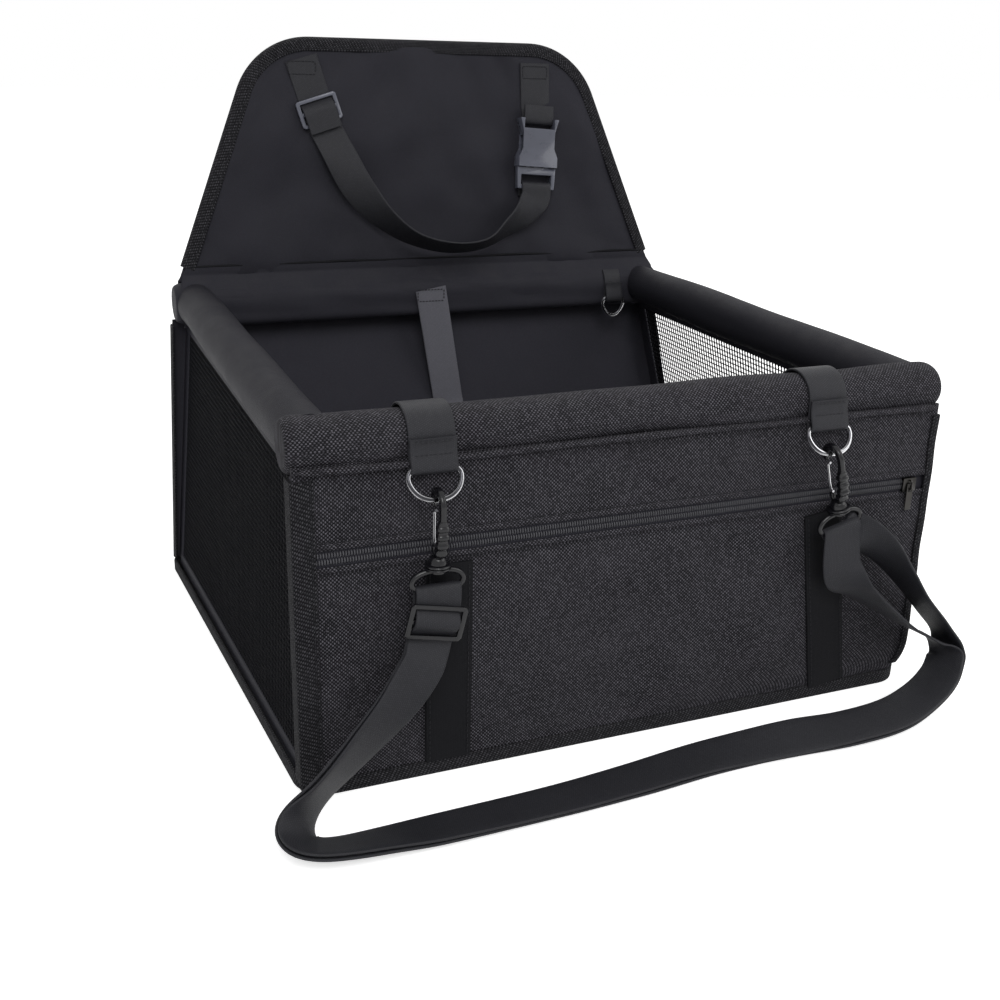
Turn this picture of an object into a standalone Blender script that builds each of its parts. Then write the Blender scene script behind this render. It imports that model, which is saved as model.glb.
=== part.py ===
"""Dog car seat: a soft travel box on a tube rim, with a fold-down back flap, a zipped front
pocket, mesh sides and a carry strap on snap hooks.  Metres, +Z up, +Y to the back, and the
origin is the middle of the underside of the base."""
import math

import bmesh
import bpy
from mathutils import Vector

# The whole seat
BASE_DEPTH = 0.330
BASE_FRONT_WIDTH = 0.399
BASE_SPREAD = 0.037
RIM_HEIGHT = 0.209
RIM_DEPTH = 0.380
RIM_OVERHANG = 0.003
RIM_SETBACK = 0.004
FLAP_LENGTH = 0.170
FLAP_SIDE_GAP = 0.0045
FLAP_TOP_WIDTH = 0.256
FLAP_LEAN = math.radians(8)

# Gaps and tools
SEAM = 0.0003
OVERRUN = 0.004
WELD = 0.00001

# Base stack and its binding
SKIN = 0.0015
BASE_BOARD = 0.003
BASE_PAD = 0.0026
BOARD_INSET = 0.006
PAD_INSET = 0.0004
BASE_CORNER = 0.008

# Walls
FACING = 0.002
WALL = 0.003
FACE_SETBACK = 0.0006
PANEL_INSET = 0.0006
NET = 0.0014
NET_STRAND = 0.0035
NET_FRAME = 0.012
NET_COLUMNS = 12
NET_ROWS = 8
NET_TOP_SHARE = 0.35

# Corner and edge binding tape
TAPE = 0.0012
TAPE_WIDTH = 0.0105
BACK_TAPE_WIDTH = 0.0125

# Rim: fabric sleeves round plastic tubes that push into elbows
SLEEVE_RADIUS = 0.015
ELBOW_RADIUS = 0.013
TUBE_RADIUS = 0.0105
TUBE_WALL = 0.0018
ELBOW_LEG = 0.030
SOCKET_DEPTH = 0.016
SLEEVE_END_ROUND = 0.005
SLEEVE_END_WALL = 0.0016

# Zip across the front
ZIP_HEIGHT = 0.129
ZIP_OPENING = 0.0124
ZIP_TAPE = 0.001
ZIP_LENGTH = 0.380
TEETH_HEIGHT = 0.0052
TEETH_THICK = 0.0016
TEETH_PITCH = 0.0058
TEETH_NOTCH = 0.0011
SLIDER_LENGTH = 0.0095
SLIDER_HEIGHT = 0.0084
SLIDER_PLATE = 0.0009
SLIDER_SKIRT = 0.0011
SLIDER_REST_X = 0.1830
BRIDGE_WIRE = 0.0006
BRIDGE_SPAN = 0.0054
BRIDGE_RISE = 0.0026
PULL_LENGTH = 0.017
PULL_WIDTH = 0.0046
PULL_THICK = 0.0008
PULL_EYE = 0.0026
PULL_EYE_HEIGHT = 0.0042
PULL_RIM = 0.0009

# Webbing
WEB = 0.0016
WEB_WIDTH = 0.025
LOOP_WIDTH = 0.0256
BAND_WIDTH = 0.0265
BAND_TOP = 0.1185
BAND_FOOT = 0.001
LEFT_BAND_INSET = 0.0825
RIGHT_BAND_TOP_INSET = 0.0785
RIGHT_BAND_FOOT_INSET = 0.0615

# D-rings on the front rim, and the small one in the back corner
LEFT_RING_INSET = 0.0725
RIGHT_RING_INSET = 0.0850
RING_WIRE = 0.0015
RING_SPAN = 0.0302
RING_DROP = 0.0170
RING_FULLNESS = 0.85
RING_BAR_BELOW = 0.0125
RING_TILT = math.radians(30)
CORNER_RING_SPAN = 0.0200
CORNER_RING_DROP = 0.0150
CORNER_RING_INSET = 0.030
CORNER_RING_BAR_BELOW = 0.0090
CORNER_RING_WEB = 0.0150

# Snap hooks
HOOK_HEIGHT = 0.0415
HOOK_REACH = 0.0090
HOOK_ARM = 0.0042
HOOK_PLATE = 0.0034
HOOK_GRIP = 0.0060
HOOK_TIP = 0.0290
HOOK_FLOOR = 0.0125
HOOK_FOOT_RADIUS = 0.0045
HOOK_BOSS_REACH = 0.0058
HOOK_BOSS_LOW = 0.0030
HOOK_BOSS_TOP = 0.0080
HOOK_RIBS = 4
HOOK_RIB_DEPTH = 0.0008
HOOK_RIB_FOOT = 0.0070
HOOK_RIB_PITCH = 0.0046
HOOK_PLAY = 0.0009
HOOK_TILT = math.radians(15)
GATE_WIRE = 0.0008
GATE_LEAN = 0.0012
DISC_RADIUS = 0.0070
DISC_THICK = 0.0011
NECK_RADIUS = 0.0036
NECK_LENGTH = 0.0022
EYE_WIRE = 0.0016
EYE_SPAN = 0.0300
EYE_FULLNESS = 0.7
EYE_DROP = 0.0105

# Sliders and the side-release buckle
GLIDE_WIDTH = 0.0320
GLIDE_HEIGHT = 0.0200
GLIDE_THICK = 0.0022
GLIDE_BAR = 0.0026
GLIDE_SLOT_WIDTH = 0.0262
BUCKLE_WIDTH = 0.0330
BUCKLE_WAIST = 0.0270
SOCKET_LENGTH = 0.0370
BUCKLE_THICK = 0.0110
BUCKLE_WALL = 0.0022
BUCKLE_TOP_BAR = 0.0050
WINDOW_HEIGHT = 0.0120
WINDOW_DEPTH = 0.0052
WINDOW_FOOT = 0.0120
PLUG_REACH = 0.0235
PLUG_FLANGE = 0.0062
PLUG_BAR = 0.0034
PLUG_TAIL = 0.0110
PRONG_WIDTH = 0.0042
GUIDE_WIDTH = 0.0060
BUCKLE_EASE = 0.0004

# Back flap
FLAP_THICK = 0.006
FLAP_BOARD = 0.003
FLAP_CORNER = 0.059
FLAP_MARGIN = 0.009
FLAP_BOARD_FOOT = 0.012
FLAP_TAPE_REACH = 0.0085
FLAP_TAPE_START = 0.0085
FLAP_RISE = 0.0033

# Flap straps, measured across (x) and up the flap from its fold
STRAP_TOP = 0.1560
LEFT_STRAP_TOP_X = -0.0960
GLIDE_X = -0.0850
GLIDE_UP = 0.1190
GLIDE_TURN = math.radians(-17)
RIGHT_STRAP_X = 0.0920
BUCKLE_TOP_UP = 0.1135
BUCKLE_TURN = math.radians(4)

# Leash inside the box
LEASH_WIDTH = 0.0252
LEASH_TOP_X = -0.0052
LEASH_RISE_SHARE = 0.35
LEASH_SLOPE = math.radians(9)
LEASH_TOUCH_UP = 0.100
LEASH_FOOT_UP = 0.0820

# Carry strap: its slider's place, pitch and roll, the gap between its plies, and the route
STRAP_GLIDE_PLACE = (-0.1295, -0.1791, 0.1010)
STRAP_GLIDE_PITCH = math.radians(3)
STRAP_GLIDE_ROLL = math.radians(12)
STRAP_PLY_GAP = 0.0009
STRAP_STEP = 0.016
ROUTE_WIDTH = 0.399
ROUTE_DEPTH = 0.330
ROUTE_RIM = 0.194
ROUTE_LIE = 0.0134

# Facets round a turned or bent piece
ROUND = 24
SMALL_ROUND = 16
WIRE_SIDES = 8

# The carry strap's route: place, then the direction of its width.  It is shared by both plies
# from the slider under the left hook, down to the ground, along the front and up on the right.
# These rows are for a seat of ROUTE_WIDTH, ROUTE_DEPTH and ROUTE_RIM, with ROUTE_LIE as the height
# of the strap's middle where it lies on its edge on the ground.  fit_route moves them for others.
SHARED_ROUTE = [
    (-0.1355, -0.1800, 0.0820, 0.95, 0.00, -0.25),
    (-0.1395, -0.1822, 0.0730, 0.90, 0.00, -0.40),
    (-0.1460, -0.1842, 0.0630, 0.80, 0.05, -0.60),
    (-0.1640, -0.1862, 0.0430, 0.60, 0.15, -0.80),
    (-0.1880, -0.1892, 0.0250, 0.30, 0.25, -0.92),
    (-0.2090, -0.1942, 0.0165, 0.10, 0.20, -1.00),
    (-0.2180, -0.2050, 0.0145, 0.00, 0.00, -1.00),
    (-0.2110, -0.2190, 0.0138, -0.05, 0.10, -1.00),
    (-0.1880, -0.2290, 0.0134, 0.00, 0.15, -1.00),
    (-0.1400, -0.2330, 0.0134, 0.00, 0.18, -1.00),
    (-0.0830, -0.2330, 0.0134, 0.00, 0.18, -1.00),
    (0.0000, -0.2300, 0.0134, 0.00, 0.18, -1.00),
    (0.0850, -0.2210, 0.0134, 0.00, 0.18, -1.00),
    (0.1450, -0.2160, 0.0134, 0.00, 0.18, -1.00),
    (0.1840, -0.2090, 0.0145, 0.15, 0.20, -0.95),
    (0.2060, -0.1960, 0.0225, 0.60, 0.15, -0.75),
    (0.2130, -0.1870, 0.0385, 0.97, -0.05, -0.20),
]
OUTER_PLY_ROUTE = [
    (0.2010, -0.1835, 0.0590, 0.85, 0.05, 0.50),
    (0.1770, -0.1810, 0.0810, 0.75, 0.00, 0.65),
    (0.1520, -0.1795, 0.1010, 0.85, 0.00, 0.50),
]
INNER_PLY_ROUTE = [
    (0.1930, -0.1800, 0.0510, 0.60, 0.20, 0.80),
    (0.1660, -0.1765, 0.0650, 0.45, 0.10, 0.90),
    (0.1420, -0.1750, 0.0800, 0.60, 0.05, 0.80),
    (0.1290, -0.1745, 0.0980, 0.92, 0.00, 0.35),
]

# Colours
CLOTH = (0.020, 0.021, 0.024)
LINING = (0.017, 0.018, 0.021)
WEBBING = (0.024, 0.026, 0.030)
TAPE_GREY = (0.045, 0.046, 0.050)
NET_BLACK = (0.012, 0.012, 0.014)
PLASTIC_GREY = (0.050, 0.053, 0.066)
STEEL = (0.78, 0.78, 0.80)
TUBE_WHITE = (0.72, 0.72, 0.70)
BOARD_GREY = (0.10, 0.10, 0.10)

# Worked out from the sizes above
BASE_BACK_WIDTH = BASE_FRONT_WIDTH + BASE_SPREAD
RIM_WIDTH = BASE_FRONT_WIDTH + RIM_OVERHANG
FLAP_FOOT_WIDTH = RIM_WIDTH - 2 * FLAP_SIDE_GAP
FLOOR = SKIN + SEAM + BASE_BOARD + SEAM + BASE_PAD
WALL_FOOT = FLOOR + SEAM
RIM_Z = RIM_HEIGHT - SLEEVE_RADIUS
RIM_FRONT_Y = -BASE_DEPTH / 2 + RIM_SETBACK + SLEEVE_RADIUS
RIM_BACK_Y = RIM_FRONT_Y + RIM_DEPTH - 2 * SLEEVE_RADIUS
RIM_SIDE_X = RIM_WIDTH / 2 - SLEEVE_RADIUS
CORNER_RING_X = RIM_SIDE_X - CORNER_RING_INSET
LEFT_RING_X = LEFT_RING_INSET - BASE_FRONT_WIDTH / 2
RIGHT_RING_X = BASE_FRONT_WIDTH / 2 - RIGHT_RING_INSET
LEFT_BAND_X = LEFT_BAND_INSET - BASE_FRONT_WIDTH / 2
RIGHT_BAND_TOP_X = BASE_FRONT_WIDTH / 2 - RIGHT_BAND_TOP_INSET
RIGHT_BAND_FOOT_X = BASE_FRONT_WIDTH / 2 - RIGHT_BAND_FOOT_INSET
RING_BAR_HEIGHT = RIM_Z - RING_BAR_BELOW
CORNER_RING_BAR_HEIGHT = RIM_Z - CORNER_RING_BAR_BELOW
BORE_RADIUS = ELBOW_RADIUS + SEAM
FRONT_LEAN = math.atan2(RIM_SETBACK + FACE_SETBACK, RIM_Z - WALL_FOOT)
BACK_RUN = RIM_BACK_Y + SLEEVE_RADIUS - BASE_DEPTH / 2 - FACE_SETBACK
BACK_LEAN = math.atan2(BACK_RUN, RIM_Z - WALL_FOOT)
UPRIGHT = (math.pi / 2, 0, 0)
SIDE_ON = (math.pi / 2, 0, math.pi / 2)
X_AXIS = Vector((1, 0, 0))
Y_AXIS = Vector((0, 1, 0))
Z_AXIS = Vector((0, 0, 1))


def empty_file():
    """Take every object out of the file, so that a second run starts clean."""
    for thing in list(bpy.data.objects):
        bpy.data.objects.remove(thing, do_unlink=True)


def collection(name):
    made = bpy.data.collections.new(name)
    bpy.context.scene.collection.children.link(made)
    return made


def finish(name, colour, roughness, metallic=0.0):
    made = bpy.data.materials.new(name)
    made.use_nodes = True
    shader = made.node_tree.nodes["Principled BSDF"]
    shader.inputs["Base Color"].default_value = (*colour, 1)
    shader.inputs["Roughness"].default_value = roughness
    shader.inputs["Metallic"].default_value = metallic
    made.diffuse_color = (*colour, 1)
    return made


empty_file()
SEAT = collection("dog_car_seat")
CUTTERS = collection("cutters")
oxford = finish("oxford_cloth", CLOTH, 0.85)
lining = finish("smooth_lining", LINING, 0.70)
webbing = finish("webbing", WEBBING, 0.65)
binding = finish("binding_tape", TAPE_GREY, 0.90)
netting = finish("netting", NET_BLACK, 0.80)
plastic = finish("moulded_plastic", PLASTIC_GREY, 0.35)
steel = finish("plated_steel", STEEL, 0.15, 1.0)
tube_plastic = finish("tube_plastic", TUBE_WHITE, 0.45)
stiff_board = finish("stiffener_board", BOARD_GREY, 0.60)


def place(name, data, look, parent=None, at=(0, 0, 0), turn=(0, 0, 0)):
    """Put a mesh or curve in the seat's collection under its node name."""
    piece = bpy.data.objects.new(name, data)
    SEAT.objects.link(piece)
    piece.parent = parent
    piece.location = at
    piece.rotation_euler = turn
    if not data.materials:
        data.materials.append(look)
    return piece


def frame(name, at, turn, parent=None):
    """An empty that carries the pieces of one panel or one moving unit."""
    made = bpy.data.objects.new(name, None)
    SEAT.objects.link(made)
    made.parent = parent
    made.location = at
    made.rotation_euler = turn
    return made


def as_cutter(piece):
    SEAT.objects.unlink(piece)
    CUTTERS.objects.link(piece)
    piece.hide_render = True
    piece.display_type = "WIRE"
    return piece


def combine(piece, other, operation="DIFFERENCE"):
    """Cut other out of piece, or join it on."""
    change = piece.modifiers.new(operation.lower(), "BOOLEAN")
    change.operation = operation
    change.solver = "EXACT"
    change.object = other
    if other.name in SEAT.objects:
        as_cutter(other)


def bake(piece):
    """Turn a curve or a modified mesh into a plain mesh that holds its place under its parent."""
    bpy.context.view_layer.update()
    seen = piece.evaluated_get(bpy.context.evaluated_depsgraph_get())
    mesh = bpy.data.meshes.new_from_object(seen)
    form = bmesh.new()
    form.from_mesh(mesh)
    bmesh.ops.remove_doubles(form, verts=form.verts, dist=WELD)
    form.to_mesh(mesh)
    form.free()
    mesh.transform(piece.matrix_basis)
    name, parent = piece.name, piece.parent
    bpy.data.objects.remove(piece, do_unlink=True)
    return place(name, mesh, None, parent)


def rod(name, radius, length, look, parent=None, at=(0, 0, 0), turn=(0, 0, 0), sides=ROUND):
    """A cylinder along its own Z axis, centred on its origin."""
    mesh = bpy.data.meshes.new(name)
    form = bmesh.new()
    bmesh.ops.create_cone(form, cap_ends=True, segments=sides, radius1=radius, radius2=radius, depth=length)
    form.to_mesh(mesh)
    form.free()
    mesh.shade_smooth()
    mesh.set_sharp_from_angle(angle=math.radians(40))
    return place(name, mesh, look, parent, at, turn)


def block(name, size, look, parent=None, at=(0, 0, 0), turn=(0, 0, 0)):
    """A box of the given size, centred on its origin."""
    mesh = bpy.data.meshes.new(name)
    form = bmesh.new()
    bmesh.ops.create_cube(form, size=1)
    bmesh.ops.scale(form, vec=size, verts=form.verts)
    form.to_mesh(mesh)
    form.free()
    return place(name, mesh, look, parent, at, turn)


def plate(name, outlines, thickness, look, parent=None, at=(0, 0, 0), turn=(0, 0, 0)):
    """A flat piece cut to an outline, with any further outlines as its holes."""
    curve = bpy.data.curves.new(name, "CURVE")
    curve.dimensions = "2D"
    curve.fill_mode = "BOTH"
    curve.extrude = thickness / 2
    for outline in outlines:
        line = curve.splines.new("POLY")
        line.points.add(len(outline) - 1)
        for dot, (x, y) in zip(line.points, outline):
            dot.co = (x, y, 0, 1)
        line.use_cyclic_u = True
    return place(name, curve, look, parent, at, turn)


def wire(name, points, radius, look, parent=None, closed=False, sides=WIRE_SIDES):
    """A round wire or pipe along points."""
    curve = bpy.data.curves.new(name, "CURVE")
    curve.dimensions = "3D"
    curve.bevel_depth = radius
    curve.bevel_resolution = sides // 2 - 2
    curve.use_fill_caps = True
    line = curve.splines.new("POLY")
    line.points.add(len(points) - 1)
    for dot, point in zip(line.points, points):
        dot.co = (*point, 1)
    line.use_cyclic_u = closed
    return place(name, curve, look, parent)


def turned(name, profile, look, parent=None, at=(0, 0, 0), turn=(0, 0, 0)):
    """A turned piece: profile is (radius, height) from the top down."""
    mesh = bpy.data.meshes.new(name)
    points = [(radius, 0, height) for radius, height in profile]
    edges = [(index, index + 1) for index in range(len(points) - 1)]
    mesh.from_pydata(points, edges, [])
    piece = place(name, mesh, look, parent, at, turn)
    screw = piece.modifiers.new("turn", "SCREW")
    screw.axis = "Z"
    screw.steps = SMALL_ROUND
    screw.render_steps = SMALL_ROUND
    screw.use_merge_vertices = True
    screw.merge_threshold = WELD
    return piece


def sweep(name, places, section, look, parent=None, closed=False):
    """Carry a section, a list of (u, v), through places: each a point, a u axis and a v axis."""
    mesh = bpy.data.meshes.new(name)
    form = bmesh.new()
    rings = [[form.verts.new(point + along * u + off * v) for u, v in section]
             for point, along, off in places]
    count = len(section)
    spans = len(rings) if closed else len(rings) - 1
    for index in range(spans):
        near = rings[index]
        far = rings[(index + 1) % len(rings)]
        for side in range(count):
            after = (side + 1) % count
            form.faces.new((near[side], near[after], far[after], far[side]))
    if not closed:
        form.faces.new(rings[0])
        form.faces.new(rings[-1])
    bmesh.ops.recalc_face_normals(form, faces=form.faces)
    form.to_mesh(mesh)
    form.free()
    return place(name, mesh, look, parent)


def strip(width, thickness):
    """The section of a flat band."""
    return [(-width / 2, -thickness / 2), (width / 2, -thickness / 2),
            (width / 2, thickness / 2), (-width / 2, thickness / 2)]


def stations(points, across, closed=False):
    """A place at each point: the width direction, squared to the run, and the flat's normal."""
    places = []
    last = len(points) - 1
    for index, point in enumerate(points):
        before = points[index - 1] if closed or index else points[0]
        after = points[(index + 1) % len(points)] if closed or index < last else points[last]
        run = (after - before).normalized()
        hint = across[index] if isinstance(across, list) else across
        off = run.cross(hint).normalized()
        places.append((point, off.cross(run).normalized(), off))
    return places


def smooth(rows, step):
    """Rows read from a smooth curve through the given rows, about a step apart in length."""
    rows = [Vector(row) for row in rows]
    mark = [0.0]
    for near, far in zip(rows, rows[1:]):
        mark.append(mark[-1] + (Vector(far[:3]) - Vector(near[:3])).length)
    last = len(rows) - 1
    slopes = []
    for index in range(len(rows)):
        low, high = max(index - 1, 0), min(index + 1, last)
        slopes.append((rows[high] - rows[low]) / (mark[high] - mark[low]))
    found = []
    for index in range(last):
        span = mark[index + 1] - mark[index]
        count = max(1, round(span / step))
        for part in range(count):
            t = part / count
            found.append(rows[index] * (2 * t ** 3 - 3 * t ** 2 + 1)
                         + slopes[index] * span * (t ** 3 - 2 * t ** 2 + t)
                         + rows[index + 1] * (3 * t ** 2 - 2 * t ** 3)
                         + slopes[index + 1] * span * (t ** 3 - t ** 2))
    found.append(rows[last])
    return found


def arc(centre_x, centre_y, radius, start, end, steps):
    """Points round part of a circle, angles in degrees."""
    angles = [math.radians(start + (end - start) * index / steps) for index in range(steps + 1)]
    return [(centre_x + radius * math.cos(angle), centre_y + radius * math.sin(angle)) for angle in angles]


def rectangle(left, right, low, high):
    return [(left, low), (right, low), (right, high), (left, high)]


def rise_to_sleeve(lean, inward, foot_y, sleeve_y):
    """How far up a leaning wall's layer runs before it meets the sleeve above it.

    The layer's face lies inward of the wall's foot line; the sleeve is a circle in side view.
    """
    over = sleeve_y - foot_y
    up = RIM_Z - WALL_FOOT
    along = over * math.sin(lean) + up * math.cos(lean)
    off = over * math.cos(lean) - up * math.sin(lean) - inward
    reach = SLEEVE_RADIUS + SEAM
    return along - math.sqrt(reach ** 2 - off ** 2)


def base_outline(inset):
    """The base in plan, a little wider at the back, drawn in by inset, with rounded corners."""
    front_x = BASE_FRONT_WIDTH / 2 - inset
    back_x = BASE_BACK_WIDTH / 2 - inset
    front_y = -BASE_DEPTH / 2 + inset
    back_y = BASE_DEPTH / 2 - inset
    round_off = max(BASE_CORNER - inset, SEAM)
    points = arc(front_x - round_off, front_y + round_off, round_off, -90, 0, 4)
    points += arc(back_x - round_off, back_y - round_off, round_off, 0, 90, 4)
    points += [(-x, y) for x, y in reversed(points)]
    return points


def build_base():
    """Underside cloth, stiffener board, floor pad and the tape bound round their edge."""
    skin_inset = TAPE + SEAM
    plate("base_cover", [base_outline(skin_inset)], SKIN, oxford, at=(0, 0, SKIN / 2))
    board_z = SKIN + SEAM + BASE_BOARD / 2
    board_edge = base_outline(skin_inset + BOARD_INSET)
    plate("base_board", [board_edge], BASE_BOARD, stiff_board, at=(0, 0, board_z))
    pad_z = FLOOR - BASE_PAD / 2
    plate("floor_pad", [base_outline(skin_inset + PAD_INSET)], BASE_PAD, lining, at=(0, 0, pad_z))
    edge = [Vector((x, y, FLOOR / 2)) for x, y in base_outline(TAPE / 2)]
    sweep("base_binding", stations(edge, Z_AXIS, closed=True), strip(FLOOR, TAPE), binding, closed=True)


def build_front():
    """The front wall: inner wall, facing above the zip, pocket panel below it, and the zip."""
    front = frame("front_frame", (0, -BASE_DEPTH / 2, WALL_FOOT), (-FRONT_LEAN, 0, 0))
    half = BASE_FRONT_WIDTH / 2 - PANEL_INSET
    foot_y = -BASE_DEPTH / 2
    wall_front = FACING + SEAM
    wall_back = wall_front + WALL
    wall_top = min(rise_to_sleeve(FRONT_LEAN, inward, foot_y, RIM_FRONT_Y)
                   for inward in (wall_front, wall_back))
    facing_top = min(rise_to_sleeve(FRONT_LEAN, inward, foot_y, RIM_FRONT_Y)
                     for inward in (SEAM, FACING))
    zip_low = ZIP_HEIGHT - ZIP_OPENING / 2
    zip_high = ZIP_HEIGHT + ZIP_OPENING / 2
    plate("front_wall", [rectangle(-half, half, 0, wall_top)], WALL, lining, front,
          (0, wall_front + WALL / 2, 0), UPRIGHT)
    plate("front_facing", [rectangle(-half, half, zip_high, facing_top)], FACING, oxford, front,
          (0, FACING / 2, 0), UPRIGHT)
    plate("pocket_panel", [rectangle(-half, half, 0, zip_low)], FACING, oxford, front,
          (0, FACING / 2, 0), UPRIGHT)
    build_zip(front)
    for side, top_x, foot_x in (("left", LEFT_BAND_X, LEFT_BAND_X),
                                ("right", RIGHT_BAND_TOP_X, RIGHT_BAND_FOOT_X)):
        run = [Vector((foot_x, -SEAM - WEB / 2, BAND_FOOT)), Vector((top_x, -SEAM - WEB / 2, BAND_TOP))]
        sweep(side + "_front_band", stations(run, X_AXIS), strip(BAND_WIDTH, WEB), webbing, front)
    for side, sign in (("left", -1), ("right", 1)):
        corner_tape(side + "_front_binding", front, sign * half, sign, TAPE_WIDTH)
    return front


def corner_tape(name, parent, edge_x, sign, width):
    """Tape folded round an upright edge: one leg on the face, one round the side."""
    outer = edge_x + sign * (SEAM + TAPE)
    inner = edge_x + sign * SEAM
    face = edge_x - sign * width
    height = min(rise_to_sleeve(FRONT_LEAN, inward, -BASE_DEPTH / 2, RIM_FRONT_Y) for inward in (0, width))
    section = [(outer, -SEAM - TAPE), (outer, width), (inner, width), (inner, -SEAM),
               (face, -SEAM), (face, -SEAM - TAPE)]
    run = [Vector((0, 0, 0)), Vector((0, 0, height))]
    places = [(point, X_AXIS, Y_AXIS) for point in run]
    return sweep(name, places, section, binding, parent)


def build_zip(front):
    """Zip tape, a row of teeth, the slider that runs on them and its pull."""
    half = ZIP_LENGTH / 2
    low = ZIP_HEIGHT - ZIP_OPENING / 2 + SEAM
    high = ZIP_HEIGHT + ZIP_OPENING / 2 - SEAM
    tape_y = FACING - ZIP_TAPE / 2
    tape = rectangle(-half, half, low, high)
    plate("zip_tape", [tape], ZIP_TAPE, binding, front, (0, tape_y, 0), UPRIGHT)
    teeth_y = tape_y - ZIP_TAPE / 2 - SEAM - TEETH_THICK / 2
    count = int((ZIP_LENGTH - 2 * TEETH_PITCH) / TEETH_PITCH)
    upper = []
    for index in range(count):
        start = -count * TEETH_PITCH / 2 + index * TEETH_PITCH
        upper.append((start, TEETH_HEIGHT / 2 - TEETH_NOTCH))
        upper.append((start + TEETH_PITCH / 4, TEETH_HEIGHT / 2))
        upper.append((start + TEETH_PITCH * 3 / 4, TEETH_HEIGHT / 2))
    upper.append((count * TEETH_PITCH / 2, TEETH_HEIGHT / 2 - TEETH_NOTCH))
    lower = [(x, -y) for x, y in reversed(upper)]
    plate("zip_teeth", [upper + lower], TEETH_THICK, plastic, front, (0, teeth_y, ZIP_HEIGHT), UPRIGHT)
    teeth_front = teeth_y - TEETH_THICK / 2
    build_slider(front, teeth_front)


def build_slider(front, teeth_front):
    """A slider that hooks over both edges of the teeth, with a wire bridge for the pull."""
    unit = frame("slider_frame", (SLIDER_REST_X, teeth_front - SEAM, ZIP_HEIGHT), (0, 0, 0), front)
    skirt_reach = SLIDER_PLATE + SEAM + TEETH_THICK / 2
    inside = TEETH_HEIGHT / 2 + SEAM
    outside = SLIDER_HEIGHT / 2
    section = [(outside, -SLIDER_PLATE), (outside, skirt_reach - SLIDER_PLATE),
               (inside, skirt_reach - SLIDER_PLATE), (inside, 0), (-inside, 0),
               (-inside, skirt_reach - SLIDER_PLATE), (-outside, skirt_reach - SLIDER_PLATE),
               (-outside, -SLIDER_PLATE)]
    run = [Vector((-SLIDER_LENGTH / 2, 0, 0)), Vector((SLIDER_LENGTH / 2, 0, 0))]
    body = sweep("zip_slider", [(point, Z_AXIS, Y_AXIS) for point in run], section, steel, unit)
    foot = -SLIDER_PLATE / 2
    high = BRIDGE_SPAN / 2
    arch = [(0, foot, high), (0, foot - BRIDGE_RISE * 0.7, high), (0, foot - BRIDGE_RISE, high * 0.6),
            (0, foot - BRIDGE_RISE, -high * 0.6), (0, foot - BRIDGE_RISE * 0.7, -high), (0, foot, -high)]
    bridge = bake(wire("zip_bridge", arch, BRIDGE_WIRE, steel, unit))
    combine(body, bridge, "UNION")
    eye_half = PULL_EYE / 2
    outline = rectangle(-PULL_WIDTH / 2, PULL_WIDTH / 2, PULL_RIM - PULL_LENGTH, PULL_RIM)
    hole = rectangle(-eye_half, eye_half, -PULL_EYE_HEIGHT, 0)
    pull_y = -SLIDER_PLATE - SEAM - PULL_THICK / 2
    plate("zip_pull", [outline, hole], PULL_THICK, steel, unit, (0, pull_y, 0), UPRIGHT)


def build_back():
    """The leaning back wall: outer cloth, inner wall and the tape at its side edges."""
    back = frame("back_frame", (0, BASE_DEPTH / 2, WALL_FOOT), (-BACK_LEAN, 0, 0))
    foot_y = BASE_DEPTH / 2
    skin_top = min(rise_to_sleeve(BACK_LEAN, -inward, foot_y, RIM_BACK_Y) for inward in (SEAM, FACING))
    inner_front = FACING + SEAM + WALL
    wall_top = min(rise_to_sleeve(BACK_LEAN, -inward, foot_y, RIM_BACK_Y)
                   for inward in (FACING, inner_front))
    cover_place = (0, -FACING / 2, 0)
    plate("back_cover", [back_outline(skin_top)], FACING, oxford, back, cover_place, UPRIGHT)
    wall_place = (0, -FACING - SEAM - WALL / 2, 0)
    plate("back_wall", [back_outline(wall_top)], WALL, lining, back, wall_place, UPRIGHT)
    for side, sign in (("left", -1), ("right", 1)):
        back_tape(side + "_back_binding", back, sign)
    return back


def back_half(up):
    """Half the back wall's width at a height up its slope."""
    foot_x = BASE_BACK_WIDTH / 2 - PANEL_INSET
    top_x = RIM_WIDTH / 2 - PANEL_INSET
    return foot_x + (top_x - foot_x) * up * math.cos(BACK_LEAN) / (RIM_Z - WALL_FOOT)


def back_outline(height):
    foot, top = back_half(0), back_half(height)
    return [(-foot, 0), (foot, 0), (top, height), (-top, height)]


def back_tape(name, parent, sign):
    """Tape folded round the back wall's slanting side edge."""
    height = min(rise_to_sleeve(BACK_LEAN, -inward, BASE_DEPTH / 2, RIM_BACK_Y)
                 for inward in (0, BACK_TAPE_WIDTH))
    outer = SEAM + TAPE
    section = [(outer, SEAM + TAPE), (outer, -BACK_TAPE_WIDTH), (SEAM, -BACK_TAPE_WIDTH), (SEAM, SEAM),
               (-BACK_TAPE_WIDTH, SEAM), (-BACK_TAPE_WIDTH, SEAM + TAPE)]
    places = [(Vector((sign * back_half(up), 0, up)), sign * X_AXIS, Y_AXIS) for up in (0, height)]
    return sweep(name, places, section, binding, parent)


def net_lines(frame_share, strand_share, count):
    """Edges of the strands and gaps across a net, from 0 to 1, as (start, end, open) spans."""
    gap_share = (1 - 2 * frame_share - (count - 1) * strand_share) / count
    marks = [0.0, frame_share]
    for index in range(count):
        marks.append(marks[-1] + gap_share)
        if index < count - 1:
            marks.append(marks[-1] + strand_share)
    marks.append(1.0)
    return marks


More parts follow.
